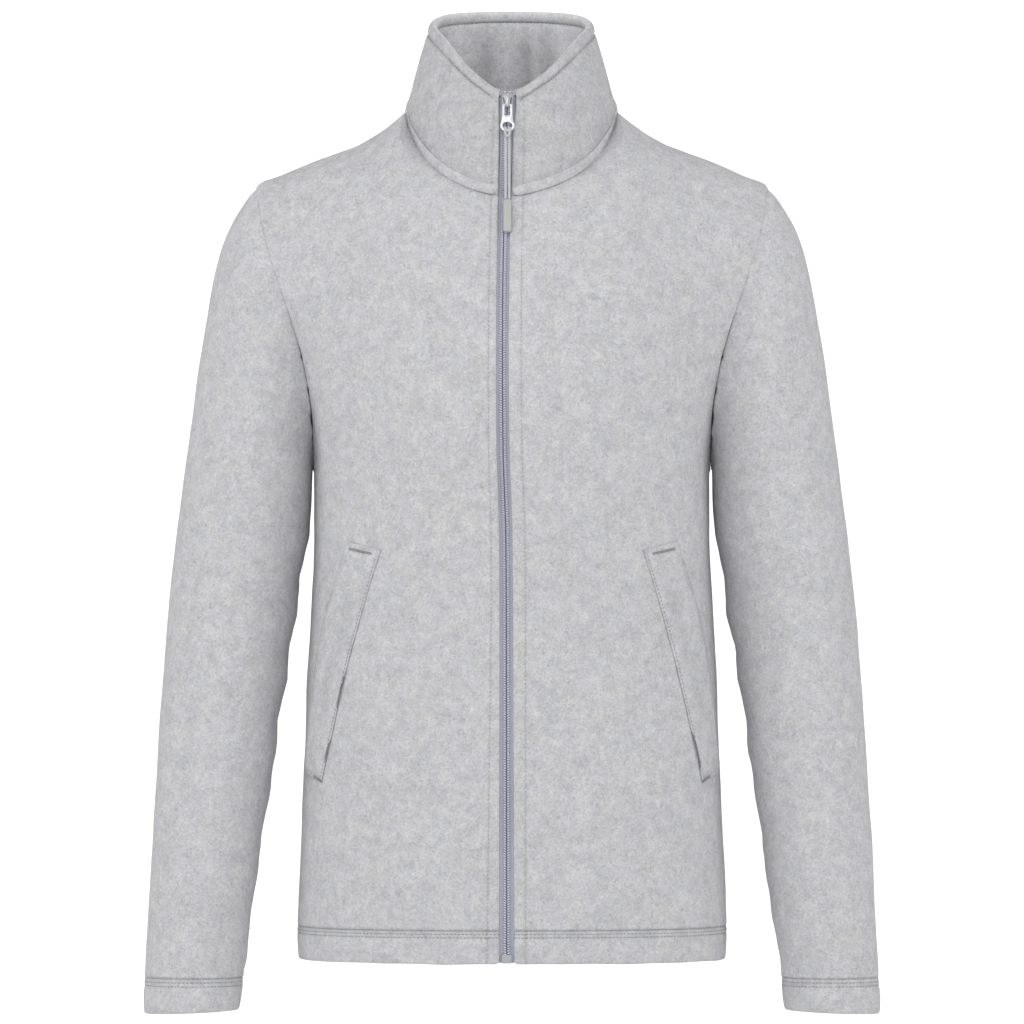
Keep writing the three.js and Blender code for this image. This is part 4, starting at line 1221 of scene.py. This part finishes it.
def cord_and_shade_under_coil():
    """The cord that the coil is wound round, in short lengths that follow the zip; its dark colour is partly
    its own and partly painted shade between the teeth.
    """
    model = rounded_bar(CORE_SIZE)
    shift = Matrix.Translation((0, CORE_DEPTH, 0))
    levels = steps(CHAIN_FROM + CORE_STEP / 2, CHAIN_TO - CORE_STEP / 2, CORE_STEP)
    places = [zip_middle.matrix(level) @ shift for level in levels]
    piece = joined_copies("filler_cord_of_zip_with_painted_shade", model, places)
    discard(model)
    return finish_piece(piece, FILLER_CORD_AND_SHADE, BODY, "zip_coil")


tooth = tooth_model()
coil(-1, tooth)
coil(1, tooth)
discard(tooth)
cord_and_shade_under_coil()


def softened_copy(node, name, width, segments=2):
    """A copy of a hard solid with its edges rounded."""
    mesh = bmesh.new()
    mesh.from_mesh(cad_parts[node].data)
    bmesh.ops.remove_doubles(mesh, verts=mesh.verts, dist=WELD)
    bmesh.ops.dissolve_limit(mesh, angle_limit=math.radians(1), verts=mesh.verts, edges=mesh.edges)
    data = bpy.data.meshes.new(name)
    mesh.to_mesh(data)
    mesh.free()
    piece = add_object(name, data)
    make_active(piece)
    rounding = piece.modifiers.new("rounding", "BEVEL")
    rounding.width = width
    rounding.segments = segments
    rounding.limit_method = "ANGLE"
    rounding.angle_limit = math.radians(28)
    bpy.ops.object.modifier_apply(modifier=rounding.name)
    bpy.ops.object.shade_smooth_by_angle(angle=math.radians(35))
    return piece


for node, name, material, slot, body, width in (
    ("zip_box", "box_of_zip", BOX, "zip_coil", BODY, 0.35 * MM),
    ("zip_stop_left", "top_stop_left", METAL, "zip_metal", BODY, 0.2 * MM),
    ("zip_stop_right", "top_stop_right", METAL, "zip_metal", BODY, 0.2 * MM),
    ("zip_slider", "slider_of_zip", METAL, "zip_metal", BODY, 0.3 * MM),
    ("zip_pull_tab", "tab_of_pull", TAB, "zip_metal", PULL, 0.22 * MM),
    ("puller_tip", "tip_of_pull", TIP, "puller_tip", PULL, 0.8 * MM),
):
    finish_piece(softened_copy(node, name, width), material, body, slot, node)

SLIDER_LOW, SLIDER_HIGH = (Vector(corner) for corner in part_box("zip_slider"))
SLIDER_MIDDLE = (SLIDER_LOW + SLIDER_HIGH) / 2


def narrow_slider(piece):
    """Gives the slider its shoulders: full width at the top, narrower towards its foot."""
    half_height = (SLIDER_HIGH.z - SLIDER_LOW.z) / 2
    for corner in piece.data.vertices:
        down = min(max((SLIDER_MIDDLE.z + 0.3 * half_height - corner.co.z) / half_height, 0), 1)
        top = min(max((corner.co.z - SLIDER_MIDDLE.z - 0.45 * half_height) / half_height, 0), 1)
        share = 1 - SLIDER_WAIST * down ** 1.5 - SLIDER_CROWN * top ** 1.2
        corner.co.x = SLIDER_MIDDLE.x + (corner.co.x - SLIDER_MIDDLE.x) * share


def painted_slot_shade():
    """Bars of painted shade in the two slots beside the bridge, near-black where the slots lie in shade."""
    model = rounded_bar(RECESS_SIZE)
    tree = solid_tree(("zip_slider",))
    places = []
    for side in sides:
        start = Vector((SLIDER_MIDDLE.x + side * RECESS_ACROSS, FAR_AHEAD, SLIDER_MIDDLE.z + RECESS_RISE))
        face, normal, _, _ = tree.ray_cast(start, INTO_JACKET)
        tilt = math.atan2(normal.z, -normal.y)
        turn = Matrix.Rotation(-tilt, 4, "X") @ Matrix.Rotation(side * RECESS_TURN, 4, "Y")
        places.append(Matrix.Translation(face + normal * -0.1 * MM) @ turn)
    piece = joined_copies("painted_shade_of_slider_slots", model, places)
    discard(model)
    return finish_piece(piece, SLOT_SHADE_PAINT, BODY, "zip_metal")


narrow_slider(bpy.data.objects["slider_of_zip"])
painted_slot_shade()

for node in ("zip_tape_left", "zip_tape_right"):
    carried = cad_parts[node]
    carried.data.materials.clear()
    carried.data.materials.append(TAPE)


def pull_cord():
    line = bpy.data.curves.new("cord_of_pull", "CURVE")
    line.dimensions = "3D"
    line.bevel_depth = CORD_DIAMETER / 2
    line.bevel_resolution = 4
    line.resolution_u = 6
    line.use_fill_caps = True
    spline = line.splines.new("BEZIER")
    spline.bezier_points.add(len(CORD_ROUTE) - 1)
    for point, place in zip(spline.bezier_points, CORD_ROUTE):
        point.co = Vector(place) * MM
        point.handle_left_type = point.handle_right_type = "AUTO"
    return add_object("cord_of_pull", line)


cord = pull_cord()
finish_piece(cord, CORD, PULL, "puller_cord", "puller_cord")


# Floor, light and camera


def floor():
    bpy.ops.mesh.primitive_circle_add(
        vertices=96, radius=FLOOR_RADIUS, fill_type="NGON", location=(0, 0, FLOOR_LEVEL)
    )
    piece = bpy.context.active_object
    piece.name = "studio_floor"
    piece.data.materials.append(plain_material("pale_floor", (0.86, 0.86, 0.86), 0.9, 0, 0.01, 4, 0))


def softbox(name, place, size, power):
    data = bpy.data.lights.new(name, "AREA")
    data.shape = "SQUARE"
    data.size = size
    data.energy = power
    lamp = bpy.data.objects.new(name, data)
    lamp.location = place
    lamp.rotation_euler = (Vector(LIT_PLACE) - Vector(place)).to_track_quat("-Z", "Y").to_euler()
    bpy.context.collection.objects.link(lamp)


def studio_world():
    """White to the camera, and a softer even light on the jacket."""
    world = bpy.data.worlds.new("studio")
    world.use_nodes = True
    shader = Shader(world.node_tree)
    light = world.node_tree.nodes["Background"]
    light.inputs["Color"].default_value = (1, 1, 1, 1)
    light.inputs["Strength"].default_value = WORLD_LIGHT
    seen = shader.node("ShaderNodeBackground")
    seen.inputs["Color"].default_value = (1, 1, 1, 1)
    seen.inputs["Strength"].default_value = BACKDROP_LIGHT
    mixed = shader.node("ShaderNodeMixShader")
    shader.join(shader.node("ShaderNodeLightPath").outputs["Is Camera Ray"], mixed.inputs[0])
    shader.join(light.outputs[0], mixed.inputs[1])
    shader.join(seen.outputs[0], mixed.inputs[2])
    shader.join(mixed.outputs[0], world.node_tree.nodes["World Output"].inputs["Surface"])
    bpy.context.scene.world = world


def camera():
    data = bpy.data.cameras.new("front_view")
    data.sensor_width = SENSOR
    data.lens = SENSOR * -CAMERA_PLACE[1] / VIEW_WIDTH
    data.clip_end = 100
    seen_from = bpy.data.objects.new("front_view", data)
    seen_from.location = CAMERA_PLACE
    seen_from.rotation_euler = (math.pi / 2, 0, 0)
    bpy.context.collection.objects.link(seen_from)
    bpy.context.scene.camera = seen_from


deselect_all()
floor()
for light in SOFTBOXES:
    softbox(*light)
studio_world()
camera()
bpy.context.scene.view_settings.view_transform = "Standard"
